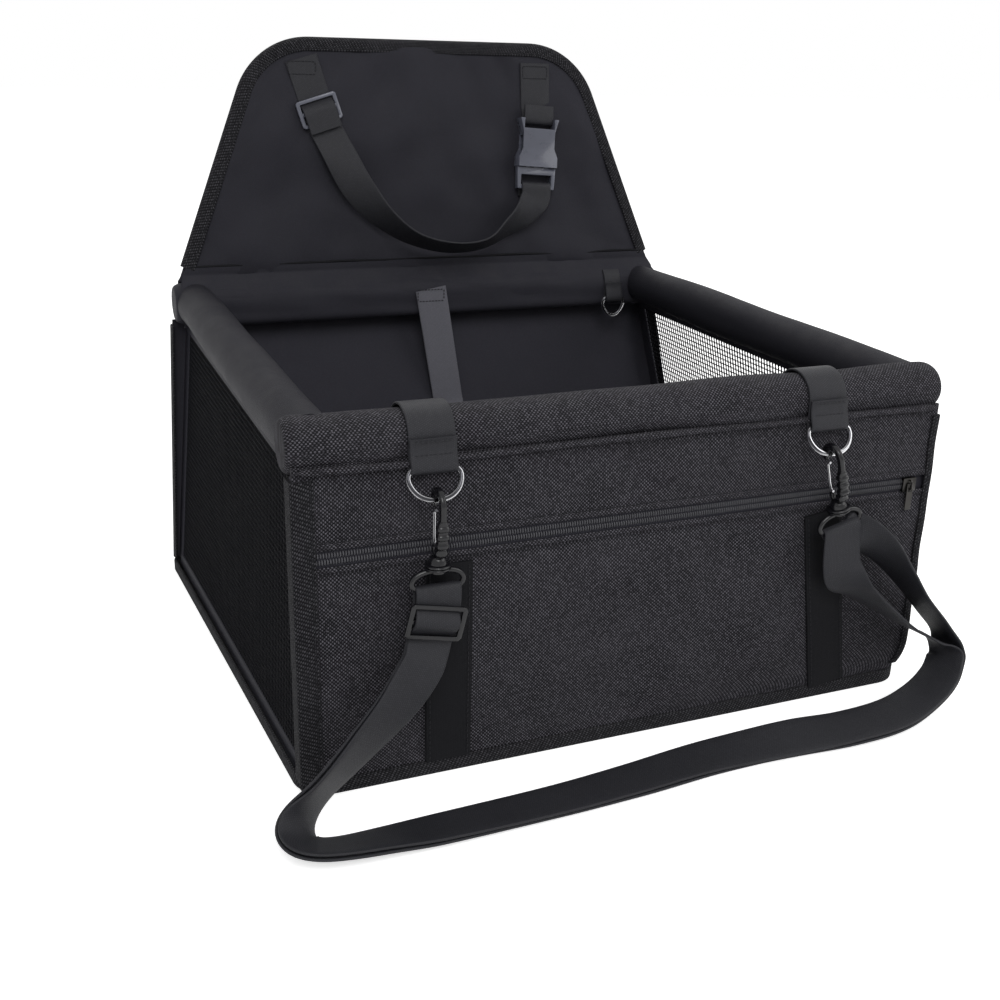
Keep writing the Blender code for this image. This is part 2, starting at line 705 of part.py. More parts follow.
def net_panel(name, corners, look):
    """A net on the patch between four corners: foot front, foot back, top back, top front.

    Cells in odd columns and odd rows are open.
    """
    foot_front, foot_back, top_back, top_front = corners
    length = (foot_back - foot_front).length
    height = (top_front - foot_front).length
    us = net_lines(NET_FRAME / length, NET_STRAND / length, NET_COLUMNS)
    vs = net_lines(NET_FRAME / height, NET_STRAND / height, NET_ROWS)
    off = (foot_back - foot_front).cross(top_front - foot_front).normalized() * NET / 2
    form = bmesh.new()

    def layer(shift):
        grid = []
        for u in us:
            foot = foot_front.lerp(foot_back, u)
            top = top_front.lerp(top_back, u)
            grid.append([form.verts.new(foot.lerp(top, v) + shift) for v in vs])
        return grid

    near, far = layer(off), layer(-off)
    columns, rows = len(us) - 1, len(vs) - 1

    def solid(column, row):
        inside = 0 <= column < columns and 0 <= row < rows
        return inside and not (column % 2 and row % 2)

    for column in range(columns):
        for row in range(rows):
            if not solid(column, row):
                continue
            ring = [(column, row), (column + 1, row), (column + 1, row + 1), (column, row + 1)]
            form.faces.new([near[a][b] for a, b in ring])
            form.faces.new([far[a][b] for a, b in reversed(ring)])
            beside = [(column, row - 1), (column + 1, row), (column, row + 1), (column - 1, row)]
            for index, other in enumerate(beside):
                if not solid(*other):
                    a, b = ring[index], ring[(index + 1) % 4]
                    form.faces.new((near[b[0]][b[1]], near[a[0]][a[1]], far[a[0]][a[1]], far[b[0]][b[1]]))
    bmesh.ops.recalc_face_normals(form, faces=form.faces)
    mesh = bpy.data.meshes.new(name)
    form.to_mesh(mesh)
    form.free()
    return place(name, mesh, look)


def build_sides():
    """A net panel on each side, from the base edge up to the side sleeve."""
    front_y = -BASE_DEPTH / 2 + FACING + SEAM + WALL + SEAM + NET
    top_front_y = front_y + RIM_SETBACK
    inner = (FACING + SEAM + WALL + SEAM + NET) / math.cos(BACK_LEAN)
    back_y = BASE_DEPTH / 2 - inner
    top_x = RIM_SIDE_X + SLEEVE_RADIUS * NET_TOP_SHARE
    top_z = RIM_Z - SLEEVE_RADIUS - 2 * SEAM
    top_back_y = back_y + (top_z - WALL_FOOT) * math.tan(BACK_LEAN)
    front_x = BASE_FRONT_WIDTH / 2 - PANEL_INSET - TAPE - NET
    back_x = BASE_BACK_WIDTH / 2 - PANEL_INSET - TAPE - NET
    for side, sign in (("left", -1), ("right", 1)):
        corners = [Vector((sign * front_x, front_y, WALL_FOOT)), Vector((sign * back_x, back_y, WALL_FOOT)),
                   Vector((sign * top_x, top_back_y, top_z)), Vector((sign * top_x, top_front_y, top_z))]
        net_panel(side + "_mesh_panel", corners, netting)


def build_rim():
    """Four cloth sleeves, with four tubes inside them joined by four elbows."""
    along_x = (0, math.pi / 2, 0)
    along_y = (math.pi / 2, 0, 0)
    bore_length = RIM_WIDTH - 2 * SLEEVE_END_WALL
    for where, y, inward in (("front", RIM_FRONT_Y, 1), ("back", RIM_BACK_Y, -1)):
        sleeve = rod(where + "_rim_sleeve", SLEEVE_RADIUS, RIM_WIDTH, oxford if inward > 0 else lining,
                     at=(0, y, RIM_Z), turn=along_x)
        ends = sleeve.modifiers.new("rounded_ends", "BEVEL")
        ends.width = SLEEVE_END_ROUND
        ends.segments = 2
        ends.limit_method = "ANGLE"
        ends.angle_limit = math.radians(60)
        bore = rod(where + "_bore", BORE_RADIUS, bore_length, lining, at=(0, y, RIM_Z), turn=along_x)
        combine(sleeve, bore)
        for sign in (-1, 1):
            depth = SLEEVE_RADIUS + OVERRUN
            hole = rod(where + "_side_hole", BORE_RADIUS, depth, lining,
                       at=(sign * RIM_SIDE_X, y + inward * depth / 2, RIM_Z), turn=along_y)
            combine(sleeve, hole)
    middle_y = (RIM_FRONT_Y + RIM_BACK_Y) / 2
    length = RIM_BACK_Y - RIM_FRONT_Y
    for side, sign in (("left", -1), ("right", 1)):
        centre = (sign * RIM_SIDE_X, middle_y, RIM_Z)
        sleeve = rod(side + "_rim_sleeve", SLEEVE_RADIUS, length, lining, at=centre, turn=along_y)
        for y in (RIM_FRONT_Y, RIM_BACK_Y):
            saddle = rod(side + "_saddle", SLEEVE_RADIUS + SEAM, RIM_WIDTH, lining,
                         at=(0, y, RIM_Z), turn=along_x)
            combine(sleeve, saddle)
        bore = rod(side + "_bore", BORE_RADIUS, length + 2 * OVERRUN, lining, at=centre, turn=along_y)
        combine(sleeve, bore)
        tube = rod(side + "_frame_tube", TUBE_RADIUS, length - 2 * (ELBOW_LEG - SOCKET_DEPTH + SEAM),
                   tube_plastic, at=centre, turn=along_y, sides=SMALL_ROUND)
        combine(tube, rod(side + "_tube_bore", TUBE_RADIUS - TUBE_WALL, length, tube_plastic, at=centre,
                          turn=along_y, sides=SMALL_ROUND))
    for where, y in (("front", RIM_FRONT_Y), ("back", RIM_BACK_Y)):
        centre = (0, y, RIM_Z)
        span = 2 * (RIM_SIDE_X - ELBOW_LEG + SOCKET_DEPTH - SEAM)
        tube = rod(where + "_frame_tube", TUBE_RADIUS, span, tube_plastic, at=centre, turn=along_x,
                   sides=SMALL_ROUND)
        combine(tube, rod(where + "_tube_bore", TUBE_RADIUS - TUBE_WALL, RIM_WIDTH, tube_plastic, at=centre,
                          turn=along_x, sides=SMALL_ROUND))
    for where, y, inward in (("front", RIM_FRONT_Y, 1), ("back", RIM_BACK_Y, -1)):
        for side, sign in (("left", -1), ("right", 1)):
            build_elbow(f"{where}_{side}_elbow", (sign * RIM_SIDE_X, y, RIM_Z), -sign, inward)


def build_elbow(name, corner, x_way, y_way):
    """A right-angle pipe fitting: two crossing legs with a socket in each."""
    x, y, z = corner
    along_x = (0, math.pi / 2, 0)
    along_y = (math.pi / 2, 0, 0)
    long = ELBOW_LEG + ELBOW_RADIUS
    elbow = rod(name, ELBOW_RADIUS, long, tube_plastic,
                at=(x + x_way * (ELBOW_LEG - long / 2), y, z), turn=along_x)
    soften = elbow.modifiers.new("soft_ends", "BEVEL")
    soften.width = TUBE_WALL
    soften.segments = 1
    soften.limit_method = "ANGLE"
    soften.angle_limit = math.radians(60)
    leg = rod(name + "_leg", ELBOW_RADIUS - SEAM, ELBOW_LEG, tube_plastic,
              at=(x, y + y_way * ELBOW_LEG / 2, z), turn=along_y)
    combine(elbow, leg, "UNION")
    depth = SOCKET_DEPTH + OVERRUN
    reach = ELBOW_LEG - SOCKET_DEPTH + depth / 2
    for at, turn in (((x + x_way * reach, y, z), along_x), ((x, y + y_way * reach, z), along_y)):
        combine(elbow, rod(name + "_socket", TUBE_RADIUS + SEAM, depth, tube_plastic, at=at, turn=turn))


def d_loop(span, drop, fullness=1.0):
    """A D in the XZ plane: a straight bar at the origin with the bow hanging below it.

    The bow is half an ellipse, made squarer where fullness is under 1.
    """
    half = span / 2
    bow = []
    for angle in range(15, 166, 15):
        across = math.cos(math.radians(angle))
        down = math.sin(math.radians(angle)) ** fullness
        bow.append((half * math.copysign(abs(across) ** fullness, across), 0, -drop * down))
    return [(-half * 0.94, 0, 0), (half * 0.94, 0, 0)] + bow


def ring_loop(name, centre_x, rim_y, bar_z, width, start):
    """Webbing over a rim sleeve, down its face, round a ring's bar and sewn back on itself.

    It starts at the angle start, in degrees, on the sleeve seen from the side.  Returns the
    bar's y.
    """
    ride = SLEEVE_RADIUS + SEAM + WEB / 2
    face_y = rim_y - ride
    turn_radius = RING_WIRE + SEAM + WEB / 2
    bar_y = face_y - turn_radius
    points = [(rim_y + y, RIM_Z + z) for y, z in arc(0, 0, ride, start, 180, round((180 - start) / 15))]
    points += [(bar_y + y, bar_z + z) for y, z in arc(0, 0, turn_radius, 0, -180, 8)]
    tuck_y = face_y - WEB - SEAM
    points += [(tuck_y, bar_z + 3.5 * turn_radius), (tuck_y, RIM_Z + SLEEVE_RADIUS * 0.2)]
    run = [Vector((centre_x, y, z)) for y, z in points]
    sweep(name, stations(run, X_AXIS), strip(width, WEB), webbing)
    return bar_y


def hook_outline():
    """A snap hook from the side: foot, gate boss, open throat, round crest, tip and spine."""
    inner = HOOK_REACH - HOOK_ARM
    crest = HOOK_HEIGHT - HOOK_REACH
    points = [(-HOOK_FOOT_RADIUS, 0), (HOOK_FOOT_RADIUS, 0), (HOOK_BOSS_REACH, HOOK_BOSS_LOW),
              (HOOK_BOSS_REACH, HOOK_BOSS_TOP), (HOOK_BOSS_REACH / 2, HOOK_BOSS_TOP), (0, HOOK_FLOOR * 0.8),
              (-inner * 0.7, HOOK_FLOOR)]
    points += arc(0, crest, inner, 180, 0, 8)
    points += [(inner, HOOK_TIP), (HOOK_REACH * 0.9, HOOK_TIP)]
    points += arc(0, crest, HOOK_REACH, 0, 180, 10)
    points += [(-HOOK_REACH, HOOK_FLOOR), (-HOOK_REACH * 0.8, HOOK_BOSS_LOW)]
    return points


def grip_outline():
    """The thick part of the hook's spine from the side, with its row of ribs at the front."""
    rib_y = -HOOK_REACH - HOOK_RIB_DEPTH
    high = HOOK_RIB_FOOT + HOOK_RIBS * HOOK_RIB_PITCH
    points = [(-HOOK_ARM * 1.1, HOOK_RIB_FOOT), (-HOOK_REACH + HOOK_ARM * 0.8, high), (-HOOK_REACH, high)]
    for index in reversed(range(HOOK_RIBS)):
        low = HOOK_RIB_FOOT + index * HOOK_RIB_PITCH
        points += [(-HOOK_REACH, low + HOOK_RIB_PITCH * 0.8), (rib_y, low + HOOK_RIB_PITCH * 0.6),
                   (rib_y, low + HOOK_RIB_PITCH * 0.3), (-HOOK_REACH, low + HOOK_RIB_PITCH * 0.1)]
    return points


def build_hook(name, unit, shared):
    """The hook body, its wire gate and the swivel eye below it, in the hook's own frame.

    The first hook is modelled, and the others share its three meshes.
    """
    if not shared:
        shared.update(hook_body=model_hook_body(unit), hook_gate=model_hook_gate(unit),
                      swivel_eye=model_swivel_eye(unit))
    for part, model in shared.items():
        place(f"{name}_{part}", model.data, None, unit)


def as_model(piece):
    """Bake a piece and set it aside, so that every copy can share its mesh."""
    model = bake(piece)
    model.parent = None
    return as_cutter(model)


def model_hook_body(unit):
    body = bake(plate("hook_body_model", [hook_outline()], HOOK_PLATE, plastic, unit, turn=SIDE_ON))
    grip = bake(plate("hook_grip", [grip_outline()], HOOK_GRIP, plastic, unit, turn=SIDE_ON))
    combine(body, grip, "UNION")
    profile = [(0, HOOK_BOSS_LOW * 1.3), (HOOK_FOOT_RADIUS * 0.8, HOOK_BOSS_LOW * 1.2),
               (HOOK_FOOT_RADIUS, SEAM), (DISC_RADIUS * 0.93, SEAM), (DISC_RADIUS, -DISC_THICK / 2),
               (DISC_RADIUS * 0.93, -DISC_THICK), (0, -DISC_THICK)]
    combine(body, turned("hook_foot", profile, plastic, unit), "UNION")
    return as_model(body)


def model_hook_gate(unit):
    low = HOOK_BOSS_TOP + SEAM + GATE_WIRE
    high = HOOK_TIP - SEAM - GATE_WIRE
    line = HOOK_BOSS_REACH - GATE_WIRE
    points = [(0, line - 2 * GATE_WIRE, low), (0, line, low), (0, line + GATE_LEAN, low * 1.3),
              (0, line + GATE_LEAN, high * 0.95), (0, line, high), (0, line - 2 * GATE_WIRE, high)]
    return as_model(wire("hook_gate_model", points, GATE_WIRE, steel, unit))


def model_swivel_eye(unit):
    disc_top = -DISC_THICK - SEAM
    disc_low = disc_top - DISC_THICK
    neck_low = disc_low - NECK_LENGTH
    profile = [(0, disc_top), (DISC_RADIUS * 0.93, disc_top),
               (DISC_RADIUS, disc_top - DISC_THICK / 2), (DISC_RADIUS * 0.93, disc_low),
               (NECK_RADIUS, disc_low), (NECK_RADIUS, neck_low), (0, neck_low)]
    eye = bake(turned("swivel_eye_model", profile, plastic, unit))
    bow = [(x, y, eye_bar() - z) for x, y, z in d_loop(EYE_SPAN, EYE_DROP, EYE_FULLNESS)]
    combine(eye, bake(wire("eye_loop", bow, EYE_WIRE, plastic, unit, closed=True)), "UNION")
    return as_model(eye)


def eye_bar():
    """The height of the swivel eye's bar in the hook's frame."""
    return -2 * DISC_THICK - SEAM - NECK_LENGTH + EYE_WIRE * 0.6 - EYE_DROP


def glide_outlines():
    """A three-bar slider: an outer outline and two slots."""
    half_width, half_height = GLIDE_WIDTH / 2, GLIDE_HEIGHT / 2
    slot_half = GLIDE_SLOT_WIDTH / 2
    slot_high = half_height - GLIDE_BAR
    middle = GLIDE_BAR / 2
    nip = GLIDE_BAR * 0.6
    outer = [(-half_width, -half_height + nip), (-half_width + nip, -half_height),
             (half_width - nip, -half_height), (half_width, -half_height + nip),
             (half_width, half_height - nip), (half_width - nip, half_height),
             (-half_width + nip, half_height), (-half_width, half_height - nip)]
    return [outer, rectangle(-slot_half, slot_half, middle, slot_high),
            rectangle(-slot_half, slot_half, -slot_high, -middle)]


def build_carry_strap():
    """Rings, hooks, slider and the long strap, which swing together about the rings' bars."""
    shared = {}
    hooks = {}
    for side, x, tilt in (("left", LEFT_RING_X, 0.0), ("right", RIGHT_RING_X, -HOOK_TILT)):
        bar_y = ring_loop(side + "_ring_loop", x, RIM_FRONT_Y, RING_BAR_HEIGHT, LOOP_WIDTH, -38)
        ring = frame(side + "_ring_frame", (x, bar_y, RING_BAR_HEIGHT), (-RING_TILT, 0, 0))
        loop = d_loop(RING_SPAN, RING_DROP, RING_FULLNESS)
        wire(side + "_d_ring", loop, RING_WIRE, steel, ring, closed=True)
        low_y = bar_y - RING_DROP * math.sin(RING_TILT)
        low_z = RING_BAR_HEIGHT - RING_DROP * math.cos(RING_TILT)
        hang = HOOK_HEIGHT - HOOK_ARM - HOOK_PLAY - RING_WIRE
        hook_place = (x - hang * math.sin(tilt), low_y, low_z - hang * math.cos(tilt))
        unit = frame(side + "_hook_frame", hook_place, (0, tilt, 0))
        build_hook(side, unit, shared)
        hooks[side] = unit
    bpy.context.view_layer.update()
    build_strap(hooks["left"].matrix_world, hooks["right"].matrix_world)
    return shared


def with_side(matrix, points, across=X_AXIS):
    """Points of a frame as route rows in the seat's own axes, with the webbing's width direction."""
    side = (matrix.to_3x3() @ across).normalized()
    return [(*(matrix @ Vector(point)), *side) for point in points]


def fit_route(rows):
    """Route rows moved from the seat they were set out on to this one's width, depth and rim."""
    across = BASE_FRONT_WIDTH / ROUTE_WIDTH
    forward = (ROUTE_DEPTH - BASE_DEPTH) / 2
    tall = (RIM_Z - ROUTE_LIE) / (ROUTE_RIM - ROUTE_LIE)
    return [(x * across, y + forward, ROUTE_LIE + (z - ROUTE_LIE) * tall, *side)
            for x, y, z, *side in rows]


def build_strap(left, right):
    """One webbing strap: down from the left eye, along the ground, round the right eye and back.

    The two plies run side by side on the shared route, and part below the right hook.
    """
    bend = EYE_WIRE + SEAM + WEB / 2
    bar = Vector((0, 0, eye_bar()))
    glide_place = fit_route([STRAP_GLIDE_PLACE])[0]
    glide = frame("strap_slider_frame", glide_place, (STRAP_GLIDE_PITCH, STRAP_GLIDE_ROLL, 0))
    plate("strap_slider", glide_outlines(), GLIDE_THICK, plastic, glide, turn=UPRIGHT)
    bpy.context.view_layer.update()
    pose = glide.matrix_world
    weave = GLIDE_THICK / 2 + WEB
    half = GLIDE_HEIGHT / 2
    behind = weave + WEB + 2 * SEAM
    tail = with_side(left, [bar + Vector((0, bend, -half * 2)), bar + Vector((0, bend, -half))])
    finish_up = with_side(pose, [(0, behind, -half * 0.9), (0, behind, -half * 0.1)])
    over_left = with_side(left, [bar + Vector((0, y, z)) for y, z in arc(0, 0, bend, 0, 180, 6)])
    down = with_side(pose, [(0, weave, half), (0, weave, half * 0.72), (0, 0, half * 0.44),
                            (0, -weave, half * 0.16), (0, -weave, -half * 0.16), (0, 0, -half * 0.44),
                            (0, weave, -half * 0.72), (0, weave, -half * 1.2)])
    over_right = with_side(right, [bar + Vector((0, y, z)) for y, z in arc(0, 0, bend, 180, 0, 6)])
    ply = (WEB + STRAP_PLY_GAP) / 2
    shared = smooth(fit_route(SHARED_ROUTE), STRAP_STEP)
    outer = ply_rows(shared, -ply)
    inner = ply_rows(shared, ply)
    rising, falling = fit_route(OUTER_PLY_ROUTE), fit_route(INNER_PLY_ROUTE)[::-1]
    outward = smooth([outer[-1]] + rising + [over_right[0]], STRAP_STEP)[1:-1]
    homeward = smooth([over_right[-1]] + falling + [inner[-1]], STRAP_STEP)[1:-1]
    route = tail + over_left + down + outer + outward + over_right + homeward + inner[::-1] + finish_up
    points = [Vector(row[:3]) for row in route]
    across = [Vector(row[3:]) for row in route]
    sweep("carry_strap", stations(points, across), strip(WEB_WIDTH, WEB), webbing)


def ply_rows(rows, offset):
    """The rows moved off the strap's flat side by offset."""
    points = [Vector(row[:3]) for row in rows]
    across = [Vector(row[3:]) for row in rows]
    return [(*(point + off * offset), *side) for point, side, off in stations(points, across)]


def flap_outline(inset, foot):
    """The flap seen square on: a tapered panel with large round top corners, drawn in by inset."""
    slant = math.atan2((FLAP_FOOT_WIDTH - FLAP_TOP_WIDTH) / 2, FLAP_LENGTH)
    half_foot = FLAP_FOOT_WIDTH / 2 - inset / math.cos(slant) - foot * math.tan(slant)
    top = FLAP_LENGTH - inset
    half_top = FLAP_FOOT_WIDTH / 2 - inset / math.cos(slant) - top * math.tan(slant)
    radius = FLAP_CORNER - inset
    reach = radius * math.tan((math.pi / 2 - slant) / 2)
    points = [(half_foot, foot)]
    points += arc(half_top - reach, top - radius, radius, math.degrees(slant), 90, 7)
    return points + [(-x, y) for x, y in reversed(points)]


def roll_foot(cover):
    """Close the cover's foot with a half round about the fold, so that it rolls over the sleeve."""
    form = bmesh.new()
    form.from_mesh(cover.data)
    foot = [face for face in form.faces if max(abs(vertex.co.z) for vertex in face.verts) < WELD]
    corners = {vertex for face in foot for vertex in face.verts}
    bmesh.ops.delete(form, geom=foot, context="FACES")
    sides = []
    for sign in (-1, 1):
        ends = [vertex for vertex in corners if vertex.co.x * sign > 0]
        near, far = sorted(ends, key=lambda vertex: vertex.co.y)
        rim = [form.verts.new((near.co.x, y, z)) for y, z in arc(0, 0, FLAP_THICK / 2, 180, 360, 8)[1:-1]]
        sides.append([near] + rim + [far])
    for left, right in zip(zip(sides[0], sides[0][1:]), zip(sides[1], sides[1][1:])):
        form.faces.new((left[0], left[1], right[1], right[0]))
    form.faces.new(sides[0])
    form.faces.new(sides[1])
    bmesh.ops.recalc_face_normals(form, faces=form.faces)
    form.to_mesh(cover.data)
    form.free()


def build_flap():
    """The back flap: cover, stiffener, edge binding and the straps sewn on its front."""
    fold_z = RIM_Z + SLEEVE_RADIUS + FLAP_RISE
    flap = frame("flap_frame", (0, RIM_BACK_Y, fold_z), (-FLAP_LEAN, 0, 0))
    slant = math.atan2((FLAP_FOOT_WIDTH - FLAP_TOP_WIDTH) / 2, FLAP_LENGTH)
    cover = bake(plate("flap_cover", [flap_outline(0, 0)], FLAP_THICK, lining, flap, turn=UPRIGHT))
    roll_foot(cover)
    room = FLAP_BOARD + 2 * SEAM
    pocket = flap_outline(FLAP_MARGIN - SEAM, FLAP_BOARD_FOOT - SEAM)
    combine(cover, bake(plate("board_pocket", [pocket], room, lining, flap, turn=UPRIGHT)))
    mouth = block("pocket_mouth", (FLAP_TOP_WIDTH / 2, room, FLAP_MARGIN + 2 * OVERRUN), lining, flap,
                  (0, 0, FLAP_LENGTH - FLAP_MARGIN / 2 + OVERRUN / 2))
    combine(cover, mouth)
    board_edge = flap_outline(FLAP_MARGIN, FLAP_BOARD_FOOT)
    plate("flap_board", [board_edge], FLAP_BOARD, stiff_board, flap, turn=UPRIGHT)
    outline = flap_outline(0, 0)
    start = FLAP_TAPE_START
    lead = Vector((outline[0][0] - start * math.tan(slant), 0, start))
    run = [lead] + [Vector((x, 0, z)) for x, z in outline[1:-1]] + [Vector((-lead.x, 0, start))]
    back_out = FLAP_THICK / 2 + SEAM + TAPE
    back_in = FLAP_THICK / 2 + SEAM
    reach = FLAP_TAPE_REACH
    section = [(-reach, -back_out), (SEAM + TAPE, -back_out), (SEAM + TAPE, back_out), (-reach, back_out),
               (-reach, back_in), (SEAM, back_in), (SEAM, -back_in), (-reach, -back_in)]
    places = [(point, -off, Y_AXIS) for point, side, off in stations(run, Y_AXIS)]
    sweep("flap_binding", places, section, binding, flap)
    build_flap_straps(flap)


def build_flap_straps(flap):
    """Two straps on the flap: a slider on the left one, a buckle on the right, a loop between."""
    rest_y = -FLAP_THICK / 2 - SEAM - WEB / 2
    weave = GLIDE_THICK / 2 + WEB
    glide_y = rest_y - weave
    glide = frame("flap_slider_frame", (GLIDE_X, glide_y, GLIDE_UP), (0, GLIDE_TURN, 0), flap)
    plate("flap_slider", glide_outlines(), GLIDE_THICK, plastic, glide, turn=UPRIGHT)
    pose = glide.matrix_basis
    half = GLIDE_HEIGHT / 2
    top = [(LEFT_STRAP_TOP_X, rest_y, STRAP_TOP, 1, 0, 0)]
    woven = with_side(pose, [(0, weave, half * 1.4), (0, weave, half * 0.72), (0, 0, half * 0.44),
                             (0, -weave, half * 0.16), (0, -weave, -half), (0, -weave, -half * 1.5)])
    rows = top + woven
    draw_strap("flap_strap_left", rows, flap)
    unit = build_buckle(flap, rest_y)
    start = with_side(pose, [(0, weave, -half * 0.2), (0, weave, -half * 0.9)])
    hang = [(x * FLAP_TOP_WIDTH, glide_y - stand * WEB_WIDTH, up * FLAP_LENGTH, *across)
            for x, stand, up, *across in LOOP_ROUTE_SHARES]
    end = with_side(unit.matrix_basis, plug_turn(), -X_AXIS)
    rows = start[:1] + smooth(start[1:] + hang + end[:1], STRAP_STEP * 0.7) + end[1:]
    draw_strap("flap_strap_loop", rows, flap)


def draw_strap(name, rows, parent):
    """Webbing along route rows."""
    points = [Vector(row[:3]) for row in rows]
    across = [Vector(row[3:]) for row in rows]
    return sweep(name, stations(points, across), strip(WEB_WIDTH, WEB), webbing, parent)


# Places along the hanging loop, as shares of the flap's top width, the webbing's width and the
# flap's length, each with the direction of the webbing's width
LOOP_ROUTE_SHARES = [
    (-0.285, 0.16, 0.520, 0.93, -0.05, 0.35),
    (-0.235, 0.34, 0.365, 0.75, -0.45, 0.50),
    (-0.165, 0.50, 0.235, 0.35, -0.85, 0.45),
    (-0.075, 0.62, 0.140, 0.05, -0.95, 0.32),
    (0.045, 0.65, 0.095, 0.00, -0.95, 0.30),
    (0.155, 0.60, 0.110, -0.15, -0.93, 0.32),
    (0.240, 0.45, 0.185, -0.55, -0.75, 0.35),
    (0.300, 0.34, 0.245, -0.88, -0.40, 0.25),
]


def plug_turn():
    """The loop's end in the buckle's frame: up in front of the plug's bar, over it and down behind."""
    low = -SOCKET_LENGTH - PLUG_FLANGE - PLUG_TAIL
    off = -plug_thickness() / 2 - SEAM - WEB / 2
    high = low + PLUG_BAR + WEB
    return [(0, off, low - 2 * PLUG_BAR), (0, off, low - WEB), (0, off, high - WEB),
            (0, off * 0.8, high), (0, -off * 0.8, high), (0, -off, high - WEB), (0, -off, low),
            (0, -off, low - PLUG_TAIL / 2)]


def plug_thickness():
    return BUCKLE_THICK - 2 * BUCKLE_WALL - 2 * BUCKLE_EASE


def build_buckle(flap, rest_y):
    """A side-release buckle: a socket with side windows, and a plug with two prongs and a guide."""
    middle_y = -FLAP_THICK / 2 - SEAM - BUCKLE_THICK / 2
    unit = frame("buckle_frame", (RIGHT_STRAP_X, middle_y, BUCKLE_TOP_UP), (0, BUCKLE_TURN, 0), flap)
    half, waist = BUCKLE_WIDTH / 2, BUCKLE_WAIST / 2
    long = SOCKET_LENGTH
    outline = [(half, 0), (half * 0.93, -long * 0.10), (waist, -long * 0.28), (waist, -long * 0.62),
               (half, -long * 0.80), (half, -long)]
    outline += [(-x, y) for x, y in reversed(outline)]
    socket = bake(plate("buckle_socket", [outline], BUCKLE_THICK, plastic, unit, turn=UPRIGHT))
    room_half = waist - BUCKLE_WALL
    room_thick = BUCKLE_THICK - 2 * BUCKLE_WALL
    room_long = long - 2 * BUCKLE_TOP_BAR - BUCKLE_WALL
    room = block("buckle_room", (2 * room_half, room_thick, room_long + OVERRUN), plastic, unit,
                 (0, 0, -long + (room_long - OVERRUN) / 2))
    combine(socket, room)
    slot = block("buckle_slot", (GLIDE_SLOT_WIDTH, BUCKLE_THICK + OVERRUN, BUCKLE_TOP_BAR), plastic, unit,
                 (0, 0, -GLIDE_BAR - BUCKLE_TOP_BAR / 2))
    combine(socket, slot)
    for sign in (-1, 1):
        relief_size = (GLIDE_SLOT_WIDTH - SEAM, BUCKLE_THICK, 2 * GLIDE_BAR + OVERRUN)
        relief = block("buckle_relief", relief_size, plastic, unit,
                       (0, sign * (GLIDE_BAR + BUCKLE_THICK) / 2, 0))
        combine(socket, relief)
        window = block("buckle_window", (2 * WINDOW_DEPTH, room_thick * 0.9, WINDOW_HEIGHT), plastic, unit,
                       (sign * waist, 0, -long + WINDOW_FOOT + WINDOW_HEIGHT / 2))
        combine(socket, window)
    off = GLIDE_BAR / 2 + SEAM + WEB / 2
    under = -GLIDE_BAR - WEB
    turn = [(0, off + WEB, BUCKLE_TOP_BAR), (0, off, SEAM), (0, off, under + WEB), (0, off * 0.7, under),
            (0, -off * 0.7, under), (0, -off, under + WEB), (0, -off, BUCKLE_TOP_BAR),
            (0, -off + WEB / 2, BUCKLE_TOP_BAR * 2)]
    top = [(RIGHT_STRAP_X, rest_y, STRAP_TOP, 1, 0, 0),
           (RIGHT_STRAP_X, rest_y, BUCKLE_TOP_UP + 2 * BUCKLE_TOP_BAR, 1, 0, 0)]
    draw_strap("flap_strap_right", top + with_side(unit.matrix_basis, turn), flap)
    build_plug(unit, room_half)
    return unit


def build_plug(unit, room_half):
    """The plug in one outline: flange, webbing bar, centre guide and two springy prongs."""
    low = -SOCKET_LENGTH
    seat = low - SEAM
    side = room_half - BUCKLE_EASE
    flange = BUCKLE_WIDTH / 2
    reach = low + PLUG_REACH
    prong = PRONG_WIDTH
    guide = GUIDE_WIDTH / 2
    half = [(guide * 0.6, reach), (guide, reach - guide), (guide, seat), (side - prong * 0.95, seat),
            (side - prong * 0.95, reach - prong * 2), (side - prong * 0.8, reach - prong * 0.4),
            (side - prong * 0.3, reach), (side, reach - prong * 0.8), (side, reach - prong * 2.2),
            (side - prong * 0.3, reach - prong * 2.6), (side - prong * 0.3, seat), (flange, seat),
            (flange, low - PLUG_FLANGE), (flange * 0.96, low - PLUG_FLANGE - PLUG_TAIL)]
    outline = half + [(-x, y) for x, y in reversed(half)]
    slot_half = GLIDE_SLOT_WIDTH / 2
    slot_top = low - PLUG_FLANGE
    slot = rectangle(-slot_half, slot_half, slot_top - PLUG_TAIL + PLUG_BAR, slot_top)
    plate("buckle_plug", [outline, slot], plug_thickness(), plastic, unit, turn=UPRIGHT)


